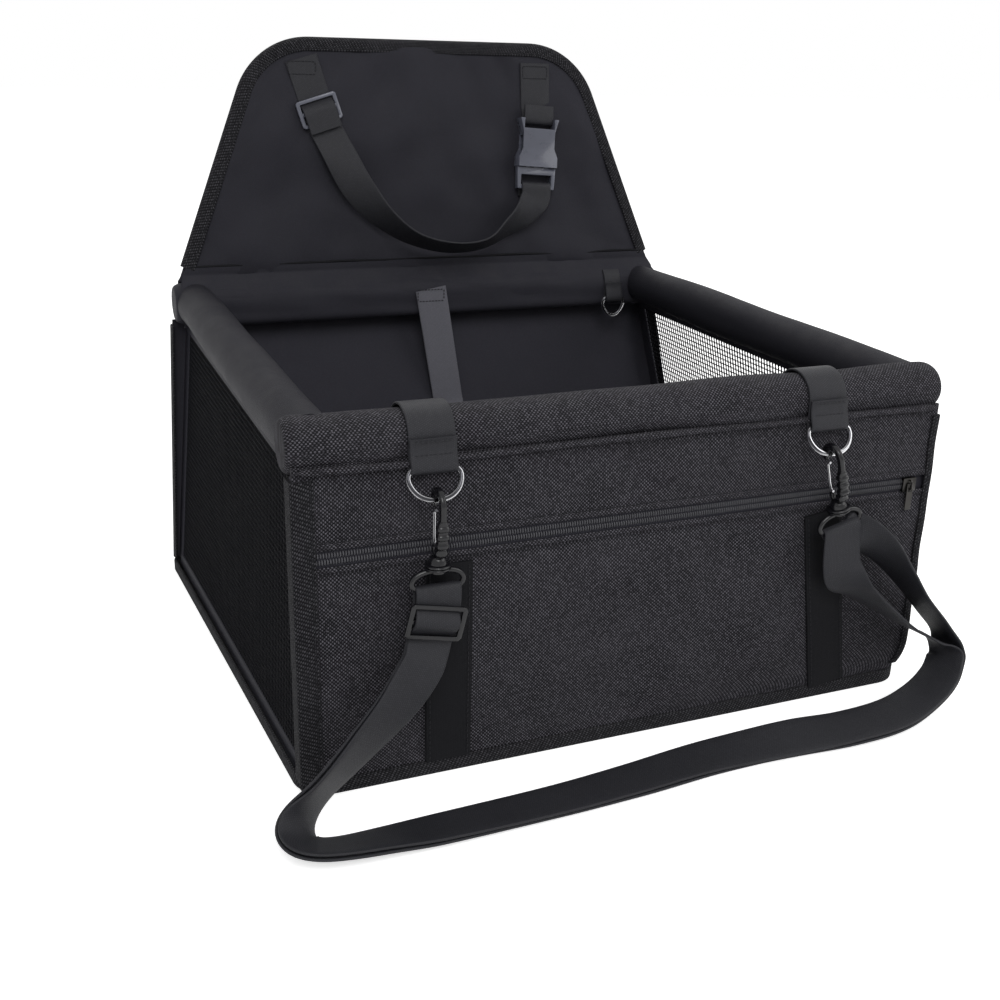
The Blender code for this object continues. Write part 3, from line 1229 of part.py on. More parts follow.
def build_leash(back, shared):
    """The tether sewn to the back sleeve inside the box, with its own snap hook at the end.

    It hangs straight from the sleeve, meets the leaning back wall and lies down along it.
    """
    bpy.context.view_layer.update()
    pose = back.matrix_world
    start = Vector((LEASH_TOP_X, RIM_BACK_Y - SLEEVE_RADIUS - SEAM - WEB / 2,
                    RIM_Z + SLEEVE_RADIUS * LEASH_RISE_SHARE))
    lining_y = -FACING - SEAM - WALL
    run_y = lining_y - SEAM - WEB / 2
    bend = EYE_WIRE + SEAM + WEB / 2
    down = Vector((math.sin(LEASH_SLOPE), 0, -math.cos(LEASH_SLOPE)))
    side = Vector((math.cos(LEASH_SLOPE), 0, math.sin(LEASH_SLOPE)))
    top_up = (start.z - WALL_FOOT) / math.cos(BACK_LEAN)

    def down_wall(up, y=run_y):
        return Vector((LEASH_TOP_X + (top_up - up) * math.tan(LEASH_SLOPE), y, up))

    bar = down_wall(LEASH_FOOT_UP, lining_y - SEAM - HOOK_REACH) + down * (HOOK_REACH + bend)
    round_bar = [bar + Y_AXIS * y - down * z for y, z in arc(0, 0, bend, 0, -180, 6)]
    round_bar += [bar - Y_AXIS * bend * 0.9 - down * (bend * 2),
                  bar - Y_AXIS * bend * 0.5 - down * (bend * 3)]
    on_wall = [down_wall(LEASH_TOUCH_UP), down_wall(LEASH_FOOT_UP)] + round_bar
    points = [start] + [pose @ point for point in on_wall]
    across = [side] + [pose.to_3x3() @ side] * len(on_wall)
    sweep("leash_strap", stations(points, across), strip(LEASH_WIDTH, WEB), webbing)
    unit = frame("leash_hook_frame", bar - down * eye_bar(), (0, math.pi - LEASH_SLOPE, 0), back)
    build_hook("leash", unit, shared)


def build_corner_ring():
    """A small ring on a webbing tab, on the back sleeve by the right-hand corner."""
    x, bar_z = CORNER_RING_X, CORNER_RING_BAR_HEIGHT
    bar_y = ring_loop("corner_ring_tab", x, RIM_BACK_Y, bar_z, CORNER_RING_WEB, 130)
    ring = frame("corner_ring_frame", (x, bar_y, bar_z), (0, 0, 0))
    wire("corner_d_ring", d_loop(CORNER_RING_SPAN, CORNER_RING_DROP), RING_WIRE, steel, ring, closed=True)


build_base()
build_front()
back_frame = build_back()
build_sides()
build_rim()
hook_models = build_carry_strap()
build_flap()
build_leash(back_frame, hook_models)
build_corner_ring()
for model in hook_models.values():
    bpy.data.objects.remove(model, do_unlink=True)
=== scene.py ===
"""Looks of the dog car seat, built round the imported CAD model.  Metres, +Z up, -Y the front."""
import math

import bmesh
import bpy
import numpy as np
from mathutils import Matrix


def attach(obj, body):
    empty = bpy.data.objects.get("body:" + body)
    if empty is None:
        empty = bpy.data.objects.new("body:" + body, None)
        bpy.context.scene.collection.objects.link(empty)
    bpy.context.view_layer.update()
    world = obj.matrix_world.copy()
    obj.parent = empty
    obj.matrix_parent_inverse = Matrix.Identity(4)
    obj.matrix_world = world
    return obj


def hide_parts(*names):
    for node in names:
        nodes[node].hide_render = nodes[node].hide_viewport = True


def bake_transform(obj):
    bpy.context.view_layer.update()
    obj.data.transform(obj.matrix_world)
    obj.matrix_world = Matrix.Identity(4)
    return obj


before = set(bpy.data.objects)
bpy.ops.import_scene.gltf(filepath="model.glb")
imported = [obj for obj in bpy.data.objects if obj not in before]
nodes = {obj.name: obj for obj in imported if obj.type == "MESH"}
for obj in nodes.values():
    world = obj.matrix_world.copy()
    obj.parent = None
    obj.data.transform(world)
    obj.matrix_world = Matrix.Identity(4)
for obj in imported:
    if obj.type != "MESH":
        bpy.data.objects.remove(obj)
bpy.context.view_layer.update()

scene = bpy.context.scene

# Sizes that the CAD states
SEAM = 0.0003
BASE_DEPTH = 0.330
BASE_FRONT_WIDTH = 0.399
BASE_BACK_WIDTH = 0.436
BASE_CORNER = 0.008
SOFT_CORNER = 0.018
SKIN = 0.0015
FLOOR = 0.0077
PAD = 0.0026
WALL_FOOT = 0.0080
RIM_Z = 0.194
RIM_FRONT_Y = -0.146
RIM_BACK_Y = 0.204
RIM_SIDE_X = 0.186
RIM_WIDTH = 0.402
SLEEVE_RADIUS = 0.015
FACING = 0.002
WALL = 0.003
PANEL_INSET = 0.0006
NET = 0.0014
TAPE = 0.0012
TAPE_WIDTH = 0.0105
BACK_TAPE_WIDTH = 0.0125
WEB = 0.0016
WEB_WIDTH = 0.025
FRONT_LEAN = math.atan2(0.0046, 0.186)
BACK_LEAN = math.atan2(0.0534, 0.186)
FLAP_LEAN = math.radians(8)
FLAP_FOOT_Z = 0.2123
FLAP_LENGTH = 0.170
FLAP_FOOT_WIDTH = 0.393
FLAP_TOP_WIDTH = 0.256
FLAP_CORNER = 0.059
FLAP_THICK = 0.006
ZIP_HEIGHT = 0.129
ZIP_HALF_OPENING = 0.0062
GLIDE_HEIGHT = 0.020
GLIDE_THICK = 0.0022
SOCKET_LENGTH = 0.037
BUCKLE_THICK = 0.011

# The camera of the photograph
CAMERA_AT = (-0.32118, -0.70858, 0.38498)
CAMERA_AZIMUTH = math.radians(-23.0451)
CAMERA_ELEVATION = math.radians(20.8954)
CAMERA_ROLL = math.radians(1.8440)
CAMERA_LENS = 43.49


def unit(vectors):
    """Vectors scaled to length one along the last axis."""
    return vectors / np.maximum(np.linalg.norm(vectors, axis=-1, keepdims=True), 1e-12)


def leaning(origin, lean):
    """A map from (x, out, up) on a leaning wall to the seat's axes.

    point = origin + (x, up sin(lean) - out cos(lean), up cos(lean) + out sin(lean)).
    """
    def place(x, out, up):
        x, out, up = np.broadcast_arrays(x, out, up)
        return np.stack([origin[0] + x, origin[1] - out * math.cos(lean) + up * math.sin(lean),
                         origin[2] + out * math.sin(lean) + up * math.cos(lean)], axis=-1)
    return place


on_front = leaning((0, -BASE_DEPTH / 2, WALL_FOOT), FRONT_LEAN)
on_back = leaning((0, BASE_DEPTH / 2, WALL_FOOT), BACK_LEAN)
on_flap = leaning((0, RIM_BACK_Y, FLAP_FOOT_Z), FLAP_LEAN)


def tilted(origin, x_turn, y_turn, parent=np.eye(4)):
    """The matrix of a small frame: turned about X, then Y, then moved to its origin."""
    turn = Matrix.Rotation(y_turn, 4, "Y") @ Matrix.Rotation(x_turn, 4, "X")
    return np.array(parent) @ np.array(Matrix.Translation(origin) @ turn)


def carry(matrix, points):
    """Points moved by a 4 x 4 matrix."""
    points = np.asarray(points, float)
    return points @ matrix[:3, :3].T + matrix[:3, 3]


def shell(points, u=None, v=None, wrap_u=False, wrap_v=False, caps=False):
    """A surface from a grid of points, as (points, faces, uv for each corner).

    Face (i, j) joins grid points (i, j), (i+1, j), (i+1, j+1), (i, j+1).  A wrapped direction
    joins its last line to its first.  Caps close the two ends with a ladder of faces.
    """
    rows, columns = points.shape[:2]
    u = np.arange(rows + 1) * 0.002 if u is None else np.append(u, 2 * u[-1] - u[-2])
    v = np.arange(columns + 1) * 0.002 if v is None else np.append(v, 2 * v[-1] - v[-2])
    i, j = np.meshgrid(np.arange(rows - (not wrap_u)), np.arange(columns - (not wrap_v)), indexing="ij")
    corners = [(i, j), (i + 1, j), (i + 1, j + 1), (i, j + 1)]
    faces = np.stack([(r % rows) * columns + c % columns for r, c in corners], axis=-1).reshape(-1, 4)
    uvs = np.stack([np.stack([u[r], v[c]], axis=-1) for r, c in corners], axis=2).reshape(-1, 4, 2)
    if caps:
        k = np.arange(columns // 2 - 1)
        ladder = np.stack([k, k + 1, columns - 2 - k, columns - 1 - k], axis=1)
        last = ladder[:, ::-1] + (rows - 1) * columns
        faces = np.concatenate([faces, ladder, last])
        side = np.stack([v[k], v[k + 1], v[k + 1], v[k]], axis=1)
        away = np.stack([np.zeros(len(k))] * 2 + [np.full(len(k), WEB)] * 2, axis=1)
        end_uv = np.stack([away, side], axis=-1)
        uvs = np.concatenate([uvs, end_uv, end_uv])
    return points.reshape(-1, 3), faces, uvs


def piece(name, shells, look, body, replaces=(), crease=45):
    """A mesh object from one or more shells, on a CAD body, with its finish and UV map."""
    starts = np.cumsum([0] + [len(points) for points, faces, uvs in shells])
    points = np.concatenate([points for points, faces, uvs in shells])
    faces = np.concatenate([faces + start for (q, faces, w), start in zip(shells, starts)])
    uvs = np.concatenate([uvs for points, faces, uvs in shells])
    mesh = bpy.data.meshes.new(name)
    mesh.from_pydata(points.tolist(), [], faces.tolist())
    layer = mesh.uv_layers.new(name="UVMap")
    layer.data.foreach_set("uv", uvs.astype(np.float32).ravel())
    mesh.shade_smooth()
    mesh.set_sharp_from_angle(angle=math.radians(crease))
    made = bpy.data.objects.new(name, mesh)
    scene.collection.objects.link(made)
    outwards(made)
    return dress(made, look, body, replaces)


def outwards(made):
    """Turn the faces of each closed shell to point out."""
    form = bmesh.new()
    form.from_mesh(made.data)
    bmesh.ops.recalc_face_normals(form, faces=form.faces)
    form.to_mesh(made.data)
    form.free()


def dress(made, look, body, replaces=()):
    made.data.materials.append(look)
    if body:
        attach(made, body)
    if replaces:
        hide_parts(*replaces)
    return made


def swept(path, across, section, closed=False, wide=1.0, deep=1.0):
    """A section carried along a path.

    At each place p with run direction t and width hint h: off = t x h, along = off x t, and a
    section point (a, b) goes to p + along a wide + off b deep.
    """
    path = np.asarray(path, float)
    ahead = np.roll(path, -1, axis=0) - np.roll(path, 1, axis=0)
    if not closed:
        ahead[0], ahead[-1] = path[1] - path[0], path[-1] - path[-2]
    run = unit(ahead)
    off = unit(np.cross(run, np.broadcast_to(across, path.shape)))
    along = np.cross(off, run)
    wide = np.broadcast_to(wide, len(path))[:, None, None]
    deep = np.broadcast_to(deep, len(path))[:, None, None]
    return (path[:, None] + along[:, None] * section[None, :, :1] * wide
            + off[:, None] * section[None, :, 1:] * deep)


def lengths(path):
    """Distance along a path at each of its points."""
    return np.append(0, np.cumsum(np.linalg.norm(np.diff(path, axis=0), axis=1)))


def flat_section(width, thickness, columns=7):
    """A band's section with half-round edges, counted once round."""
    flat = np.linspace(-1, 1, columns) * (width / 2 - thickness / 2)
    bend = np.radians([60, 20, -20, -60])
    edge = np.stack([flat[-1] + np.cos(bend) * thickness / 2, np.sin(bend) * thickness / 2], axis=1)
    top = np.stack([flat, np.full(columns, thickness / 2)], axis=1)
    return np.concatenate([top, edge, -top, -edge])


def round_section(radius, sides=14, squareness=1.0, deep=1.0):
    """A circle, or with squareness under 1 a boxy superellipse: sign(c)|c|^s, sign(s)|s|^s."""
    turn = np.linspace(0, 2 * np.pi, sides, endpoint=False)
    form = np.stack([np.cos(turn), np.sin(turn) * deep], axis=1)
    return np.sign(form) * np.abs(form) ** squareness * radius


def band(rows, width=WEB_WIDTH, thickness=WEB):
    """Webbing along rows of place and width direction."""
    rows = np.asarray(rows, float)
    path, section = rows[:, :3], flat_section(width, thickness)
    return shell(swept(path, rows[:, 3:], section), lengths(path), lengths(section), wrap_v=True, caps=True)


def rod(path, across, radius, sides=14, closed=False, wide=1.0, squareness=1.0, deep=1.0):
    """A round wire or bar along a path."""
    section = round_section(radius, sides, squareness, deep)
    points = swept(path, across, section, closed, wide, wide)
    return shell(points, lengths(np.asarray(path)), lengths(section), wrap_u=closed, wrap_v=True,
                 caps=not closed)


def lathe(matrix, profile, steps=40):
    """A turned form: profile rows (radius, height) carried once round the frame's Z axis."""
    radius, height = np.asarray(profile, float).T
    turn = np.linspace(0, 2 * np.pi, steps, endpoint=False)
    points = np.stack([radius[:, None] * np.cos(turn), radius[:, None] * np.sin(turn),
                       np.broadcast_to(height[:, None], (len(height), steps))], axis=-1)
    return shell(carry(matrix, points), lengths(np.asarray(profile)), turn * radius.max(), wrap_v=True,
                 caps=True)


def arc(centre_x, centre_y, radius, start, end, steps):
    """Points round part of a circle, angles in degrees."""
    turn = np.radians(np.linspace(start, end, steps + 1))
    return np.stack([centre_x + radius * np.cos(turn), centre_y + radius * np.sin(turn)], axis=1)


def smooth(rows, step):
    """Rows read from the cubic (Hermite) curve through the given rows, about a step apart.

    The slope at a row is the chord between its neighbours over the distance between them.
    """
    rows = np.asarray(rows, float)
    mark = lengths(rows[:, :3])
    span = np.diff(mark)
    index = np.arange(len(rows))
    low, high = np.maximum(index - 1, 0), np.minimum(index + 1, len(rows) - 1)
    slopes = (rows[high] - rows[low]) / (mark[high] - mark[low])[:, None]
    counts = np.maximum(1, np.rint(span / step)).astype(int)
    k = np.repeat(np.arange(len(span)), counts)
    t = (np.concatenate([np.arange(count) / count for count in counts]))[:, None]
    gap = span[k][:, None]
    found = (rows[k] * (2 * t ** 3 - 3 * t ** 2 + 1) + slopes[k] * gap * (t ** 3 - 2 * t ** 2 + t)
             + rows[k + 1] * (3 * t ** 2 - 2 * t ** 3) + slopes[k + 1] * gap * (t ** 3 - t ** 2))
    return np.concatenate([found, rows[-1:]])


def slab(front, back, u, v):
    """A closed sheet between a front grid and a back grid of points."""
    loop = np.concatenate([front, back[:, ::-1]], axis=1)
    around = np.concatenate([v, v[-1] + WEB + (v[-1] - v[::-1])])
    return shell(loop, u, around, wrap_v=True, caps=True)


def ripple(x, z, seed, size, scale):
    """Low folds in cloth: a sum of six sine waves with seeded directions and phases."""
    chance = np.random.default_rng(seed)
    total = 0.0
    for wave in range(6):
        heading = chance.uniform(0, np.pi)
        reach = scale * chance.uniform(0.6, 1.8)
        total = total + np.sin((x * np.cos(heading) + z * np.sin(heading)) * 2 * np.pi / reach
                               + chance.uniform(0, 2 * np.pi)) / 6
    return total * size


def stitches(path, normal, pitch=0.0032, long=0.0022, thick=0.00034):
    """A row of sewn stitches: a small six-sided bead for each, laid along the path."""
    path = np.asarray(path, float)
    mark = lengths(path)
    centres = np.arange(pitch / 2, mark[-1], pitch)
    place = np.stack([np.interp(centres, mark, path[:, axis]) for axis in range(3)], axis=1)
    ahead = np.stack([np.interp(centres + pitch / 4, mark, path[:, axis]) for axis in range(3)], axis=1)
    behind = np.stack([np.interp(centres - pitch / 4, mark, path[:, axis]) for axis in range(3)], axis=1)
    run = unit(ahead - behind)
    normal = np.asarray(normal, float)
    if normal.ndim == 2:
        normal = unit(np.stack([np.interp(centres, mark, normal[:, axis]) for axis in range(3)], axis=1))
    side = unit(np.cross(run, np.broadcast_to(normal, run.shape)))
    up = np.cross(side, run)
    sides = 6
    turn = np.linspace(0, 2 * np.pi, sides, endpoint=False)
    along = np.array([-0.5, -0.3, 0.3, 0.5]) * long
    girth = np.array([0.35, 1.0, 1.0, 0.35]) * thick
    bead = np.stack([np.broadcast_to(along[:, None], (4, sides)), girth[:, None] * np.cos(turn),
                     girth[:, None] * np.sin(turn)], axis=-1).reshape(-1, 3)
    points = (place[:, None] + run[:, None] * bead[None, :, :1] + side[:, None] * bead[None, :, 1:2]
              + up[:, None] * bead[None, :, 2:])
    one, faces, uvs = shell(bead.reshape(4, sides, 3), wrap_v=True, caps=True)
    count = len(place)
    faces = (faces[None] + (np.arange(count) * 4 * sides)[:, None, None]).reshape(-1, 4)
    return points.reshape(-1, 3), faces, np.tile(uvs, (count, 1, 1))


def refined(node, name, look, body, width, segments=2):
    """A copy of a rigid CAD node, its triangles merged and flat faces joined, with rounded edges."""
    form = bmesh.new()
    form.from_mesh(nodes[node].data)
    bmesh.ops.remove_doubles(form, verts=form.verts, dist=0.000002)
    bmesh.ops.dissolve_limit(form, angle_limit=math.radians(1), verts=form.verts, edges=form.edges)
    mesh = bpy.data.meshes.new(name)
    form.to_mesh(mesh)
    form.free()
    mesh.materials.clear()
    mesh.shade_smooth()
    made = bpy.data.objects.new(name, mesh)
    scene.collection.objects.link(made)
    edge = made.modifiers.new("rounded_edges", "BEVEL")
    edge.width = width
    edge.segments = segments
    edge.limit_method = "ANGLE"
    edge.angle_limit = math.radians(35)
    edge.harden_normals = True
    return dress(made, look, body, (node,))


def settle(made, held, pressure, grow, cap, frames=14):
    """Swell and wrinkle a closed padded piece by cloth simulation, then apply the result.

    Held points are sewn down.  The cloth is cut larger by grow, pushed by the pressure inside,
    and no point moves further than cap: move = cap tanh(|move| / cap).
    """
    mesh = made.data
    rest = np.empty(len(mesh.vertices) * 3, np.float32)
    mesh.vertices.foreach_get("co", rest)
    rest = rest.reshape(-1, 3)
    group = made.vertex_groups.new(name="sewn")
    group.add(np.flatnonzero(held).tolist(), 1.0, "REPLACE")
    cloth = made.modifiers.new("cloth", "CLOTH")
    facts = cloth.settings
    facts.vertex_group_mass = "sewn"
    facts.use_pressure = True
    facts.uniform_pressure_force = pressure
    facts.shrink_min = -grow
    facts.quality = 5
    facts.mass = 0.2
    facts.bending_stiffness = 0.4
    facts.tension_stiffness = 12
    facts.compression_stiffness = 12
    facts.effector_weights.gravity = 0
    cloth.point_cache.frame_start = 1
    cloth.point_cache.frame_end = frames
    for step in range(1, frames + 1):
        scene.frame_set(step)
    seen = made.evaluated_get(bpy.context.evaluated_depsgraph_get())
    after = np.empty(len(mesh.vertices) * 3, np.float32)
    seen.data.vertices.foreach_get("co", after)
    move = after.reshape(-1, 3) - rest
    far = np.maximum(np.linalg.norm(move, axis=1, keepdims=True), 1e-9)
    move = move / far * cap * np.tanh(far / cap)
    made.modifiers.remove(cloth)
    made.vertex_groups.remove(group)
    mesh.vertices.foreach_set("co", (rest + move).astype(np.float32).ravel())
    mesh.update()
    scene.frame_set(1)


def finer(made):
    """One subdivision of a soft piece, the same in the view and the render."""
    more = made.modifiers.new("subdivision", "SUBSURF")
    more.levels = 1
    more.render_levels = 1


# Materials

def new_group(name, inputs, outputs):
    """A shader node group with named inputs (name, kind, value) and outputs (name, kind)."""
    tree = bpy.data.node_groups.new(name, "ShaderNodeTree")
    for title, kind, value in inputs:
        socket = tree.interface.new_socket(name=title, in_out="INPUT", socket_type=kind)
        if value is not None:
            socket.default_value = value
    for title, kind in outputs:
        tree.interface.new_socket(name=title, in_out="OUTPUT", socket_type=kind)
    return tree, tree.nodes.new("NodeGroupInput"), tree.nodes.new("NodeGroupOutput")


def feed(tree, socket, value):
    """Link a socket to another, or set its value."""
    if isinstance(value, bpy.types.NodeSocket):
        tree.links.new(value, socket)
    elif value is not None:
        socket.default_value = value


def maths(tree, operation, *values):
    node = tree.nodes.new("ShaderNodeMath")
    node.operation = operation
    for socket, value in zip(node.inputs, values):
        feed(tree, socket, value)
    return node.outputs[0]


def blend_colour(tree, share, first, second):
    node = tree.nodes.new("ShaderNodeMix")
    node.data_type = "RGBA"
    feed(tree, node.inputs[0], share)
    feed(tree, node.inputs[6], first)
    feed(tree, node.inputs[7], second)
    return node.outputs[2]


def noise(tree, vector, scale, detail=2.0, roughness=0.5):
    node = tree.nodes.new("ShaderNodeTexNoise")
    feed(tree, node.inputs["Vector"], vector)
    feed(tree, node.inputs["Scale"], scale)
    node.inputs["Detail"].default_value = detail
    node.inputs["Roughness"].default_value = roughness
    return node.outputs["Fac"]


def ramp(tree, value, low, high):
    """The value stretched so that low goes to 0 and high to 1."""
    node = tree.nodes.new("ShaderNodeMapRange")
    feed(tree, node.inputs["Value"], value)
    node.inputs["From Min"].default_value = low
    node.inputs["From Max"].default_value = high
    return node.outputs["Result"]


FLOAT, VECTOR = "NodeSocketFloat", "NodeSocketVector"


def make_weave_group():
    """Threads over and under: in each square of the weave the warp or the weft lies on top.

    Height is |sin(pi u)| over |sin(pi v)| in turn; Over says which thread shows; Tone is a
    chance value for each stitch of it.
    """
    tree, start, end = new_group("weave", [("Vector", VECTOR, None), ("Threads", FLOAT, 800.0),
                                           ("Stretch", FLOAT, 1.0), ("Slant", FLOAT, 0.0)],
                                 [("Height", FLOAT), ("Over", FLOAT), ("Tone", FLOAT)])
    split = tree.nodes.new("ShaderNodeSeparateXYZ")
    feed(tree, split.inputs[0], start.outputs["Vector"])
    threads = start.outputs["Threads"]
    v = maths(tree, "MULTIPLY", split.outputs["Y"], threads)
    u = maths(tree, "MULTIPLY", split.outputs["X"], threads)
    u = maths(tree, "MULTIPLY", u, start.outputs["Stretch"])
    u = maths(tree, "ADD", u, maths(tree, "MULTIPLY", v, start.outputs["Slant"]))
    a = maths(tree, "ABSOLUTE", maths(tree, "SINE", maths(tree, "MULTIPLY", u, math.pi)))
    b = maths(tree, "ABSOLUTE", maths(tree, "SINE", maths(tree, "MULTIPLY", v, math.pi)))
    column, row = maths(tree, "FLOOR", u), maths(tree, "FLOOR", v)
    over = maths(tree, "PINGPONG", maths(tree, "ADD", column, row), 1.0)
    warp = maths(tree, "MULTIPLY", a, maths(tree, "MULTIPLY_ADD", b, 0.45, 0.55))
    weft = maths(tree, "MULTIPLY", b, maths(tree, "MULTIPLY_ADD", a, 0.45, 0.55))
    step = maths(tree, "SUBTRACT", weft, warp)
    height = maths(tree, "MULTIPLY_ADD", step, over, warp)
    cell = tree.nodes.new("ShaderNodeCombineXYZ")
    feed(tree, cell.inputs[0], column)
    feed(tree, cell.inputs[1], row)
    chance = tree.nodes.new("ShaderNodeTexWhiteNoise")
    chance.noise_dimensions = "2D"
    feed(tree, chance.inputs["Vector"], cell.outputs[0])
    feed(tree, end.inputs["Height"], height)
    feed(tree, end.inputs["Over"], over)
    feed(tree, end.inputs["Tone"], chance.outputs["Value"])
    return tree


def make_mottle_group():
    """Soft cloudy variation, and sparse bright flecks of lint."""
    tree, start, end = new_group("mottle", [("Vector", VECTOR, None), ("Scale", FLOAT, 20.0),
                                            ("Flecks", FLOAT, 900.0)], [("Cloud", FLOAT), ("Lint", FLOAT)])
    cloud = noise(tree, start.outputs["Vector"], start.outputs["Scale"], 4.0, 0.6)
    specks = noise(tree, start.outputs["Vector"], start.outputs["Flecks"], 1.0)
    feed(tree, end.inputs["Cloud"], ramp(tree, cloud, 0.3, 0.7))
    feed(tree, end.inputs["Lint"], ramp(tree, specks, 0.66, 0.78))
    return tree


def make_wear_group():
    """Where edges stick out and rub: the mesh's pointiness, broken up by noise."""
    tree, start, end = new_group("edge_wear", [("Vector", VECTOR, None), ("Reach", FLOAT, 0.55)],
                                 [("Worn", FLOAT)])
    shape = tree.nodes.new("ShaderNodeNewGeometry")
    sharp = maths(tree, "SUBTRACT", shape.outputs["Pointiness"], start.outputs["Reach"])
    sharp = maths(tree, "MULTIPLY", sharp, 9.0)
    worn = maths(tree, "MULTIPLY", sharp, noise(tree, start.outputs["Vector"], 260.0, 3.0))
    worn.node.use_clamp = True
    feed(tree, end.inputs["Worn"], worn)
    return tree


def make_dust_group():
    """Dust that settles on faces that look up: the normal's Z, broken up by noise."""
    tree, start, end = new_group("dust", [("Vector", VECTOR, None), ("Amount", FLOAT, 0.3)],
                                 [("Dust", FLOAT)])
    shape = tree.nodes.new("ShaderNodeNewGeometry")
    split = tree.nodes.new("ShaderNodeSeparateXYZ")
    feed(tree, split.inputs[0], shape.outputs["Normal"])
    up = ramp(tree, split.outputs["Z"], 0.2, 1.0)
    patch = ramp(tree, noise(tree, start.outputs["Vector"], 45.0, 5.0, 0.7), 0.4, 0.75)
    feed(tree, end.inputs["Dust"], maths(tree, "MULTIPLY", maths(tree, "MULTIPLY", up, patch),
                                         start.outputs["Amount"]))
    return tree


weave_group = make_weave_group()
mottle_group = make_mottle_group()
wear_group = make_wear_group()
dust_group = make_dust_group()


def use_group(tree, group, **values):
    node = tree.nodes.new("ShaderNodeGroup")
    node.node_tree = group
    for title, value in values.items():
        feed(tree, node.inputs[title], value)
    return node.outputs


def begin(name, coordinates):
    """A node material: its tree, its shader and the coordinates that its pattern reads."""
    made = bpy.data.materials.new(name)
    made.use_nodes = True
    tree = made.node_tree
    shader = tree.nodes["Principled BSDF"]
    where = tree.nodes.new("ShaderNodeTexCoord").outputs[coordinates]
    return made, tree, shader, where


def bump(tree, shader, height, strength, distance):
    node = tree.nodes.new("ShaderNodeBump")
    node.inputs["Strength"].default_value = strength
    node.inputs["Distance"].default_value = distance
    feed(tree, node.inputs["Height"], height)
    feed(tree, shader.inputs["Normal"], node.outputs["Normal"])


DUST_COLOUR = (0.09, 0.088, 0.085, 1)


def cloth_look(name, dark, light, threads, depth, rough, gloss=0.10, stretch=1.0, slant=0.0, contrast=0.7,
               dents=0.0, lint=0.12, dust=0.15):
    """Woven cloth: two thread colours in a weave, cloudy fading, lint, dust and relief.

    Dents is the depth of the soft hollows of a loose cloth, some 80 mm apart.
    """
    made, tree, shader, where = begin(name, "UV")
    threads_out = use_group(tree, weave_group, Vector=where, Threads=threads, Stretch=stretch, Slant=slant)
    soft = use_group(tree, mottle_group, Vector=where, Scale=26.0, Flecks=700.0)
    tone = maths(tree, "MULTIPLY_ADD", threads_out["Tone"], 0.7, 0.3)
    share = maths(tree, "MULTIPLY", threads_out["Over"], tone)
    share = maths(tree, "MULTIPLY", maths(tree, "MULTIPLY", share, threads_out["Height"]), contrast * 1.3)
    share = maths(tree, "ADD", share, maths(tree, "MULTIPLY", soft["Cloud"], 0.12))
    colour = blend_colour(tree, share, (*dark, 1), (*light, 1))
    pale = (*[min(1.0, part * 2.2 + 0.01) for part in light], 1)
    colour = blend_colour(tree, maths(tree, "MULTIPLY", soft["Lint"], lint), colour, pale)
    settled = use_group(tree, dust_group, Vector=where, Amount=dust)
    colour = blend_colour(tree, settled["Dust"], colour, DUST_COLOUR)
    feed(tree, shader.inputs["Base Color"], colour)
    feed(tree, shader.inputs["Roughness"], maths(tree, "MULTIPLY_ADD", soft["Cloud"], 0.10, rough - 0.05))
    shader.inputs["Specular IOR Level"].default_value = gloss
    rise = maths(tree, "MULTIPLY_ADD", soft["Cloud"], 0.3, threads_out["Height"])
    if dents:
        rise = maths(tree, "MULTIPLY_ADD", noise(tree, where, 13.0, 1.0), dents / depth, rise)
    bump(tree, shader, rise, 0.8, depth)
    return made


def plastic_look(name, colour, rough, coat=0.0, grain=0.00004):
    """Moulded plastic: a fine grain, faint flow marks and rubbed edges."""
    made, tree, shader, where = begin(name, "Object")
    marks = use_group(tree, mottle_group, Vector=where, Scale=90.0, Flecks=1500.0)
    worn = use_group(tree, wear_group, Vector=where, Reach=0.53)
    pale = (*[part * 2.4 + 0.01 for part in colour], 1)
    tone = blend_colour(tree, maths(tree, "MULTIPLY", marks["Cloud"], 0.35), (*colour, 1),
                        (*[part * 1.5 for part in colour], 1))
    feed(tree, shader.inputs["Base Color"], blend_colour(tree, worn["Worn"], tone, pale))
    feed(tree, shader.inputs["Roughness"], maths(tree, "MULTIPLY_ADD", marks["Cloud"], 0.12, rough))
    shader.inputs["Specular IOR Level"].default_value = 0.3
    shader.inputs["Coat Weight"].default_value = coat
    shader.inputs["Coat Roughness"].default_value = 0.12
    bump(tree, shader, noise(tree, where, 1600.0, 2.0), 0.35, grain)
    return made


def metal_look(name, colour, rough, painted_reflection=None):
    """Plated wire: fine drawing marks, smudges, a little dulling where it rubs.

    The core colour, if given, is a painted reflection: it is painted into the base colour where the wire
    faces the eye, for the dark of a room that the wire would reflect.
    """
    made, tree, shader, where = begin(name, "Object")
    marks = use_group(tree, mottle_group, Vector=where, Scale=160.0, Flecks=2500.0)
    worn = use_group(tree, wear_group, Vector=where, Reach=0.55)
    tone = blend_colour(tree, maths(tree, "MULTIPLY", marks["Cloud"], 0.4), (*colour, 1),
                        (*[part * 0.8 for part in colour], 1))
    tone = blend_colour(tree, worn["Worn"], tone, (*[part * 0.7 for part in colour], 1))
    # Painted reflection: a dark colour mixed into the base colour where the surface faces the eye, in place
    # of a dark room seen in it.
    if painted_reflection:
        turned = tree.nodes.new("ShaderNodeLayerWeight")
        turned.inputs["Blend"].default_value = 0.5
        tone = blend_colour(tree, ramp(tree, turned.outputs["Facing"], 0.10, 0.42), (*painted_reflection, 1), tone)
    feed(tree, shader.inputs["Base Color"], tone)
    shader.inputs["Metallic"].default_value = 1.0
    feed(tree, shader.inputs["Roughness"], maths(tree, "MULTIPLY_ADD", marks["Cloud"], 0.12, rough))
    bump(tree, shader, noise(tree, where, 2200.0, 3.0), 0.15, 0.00002)
    return made


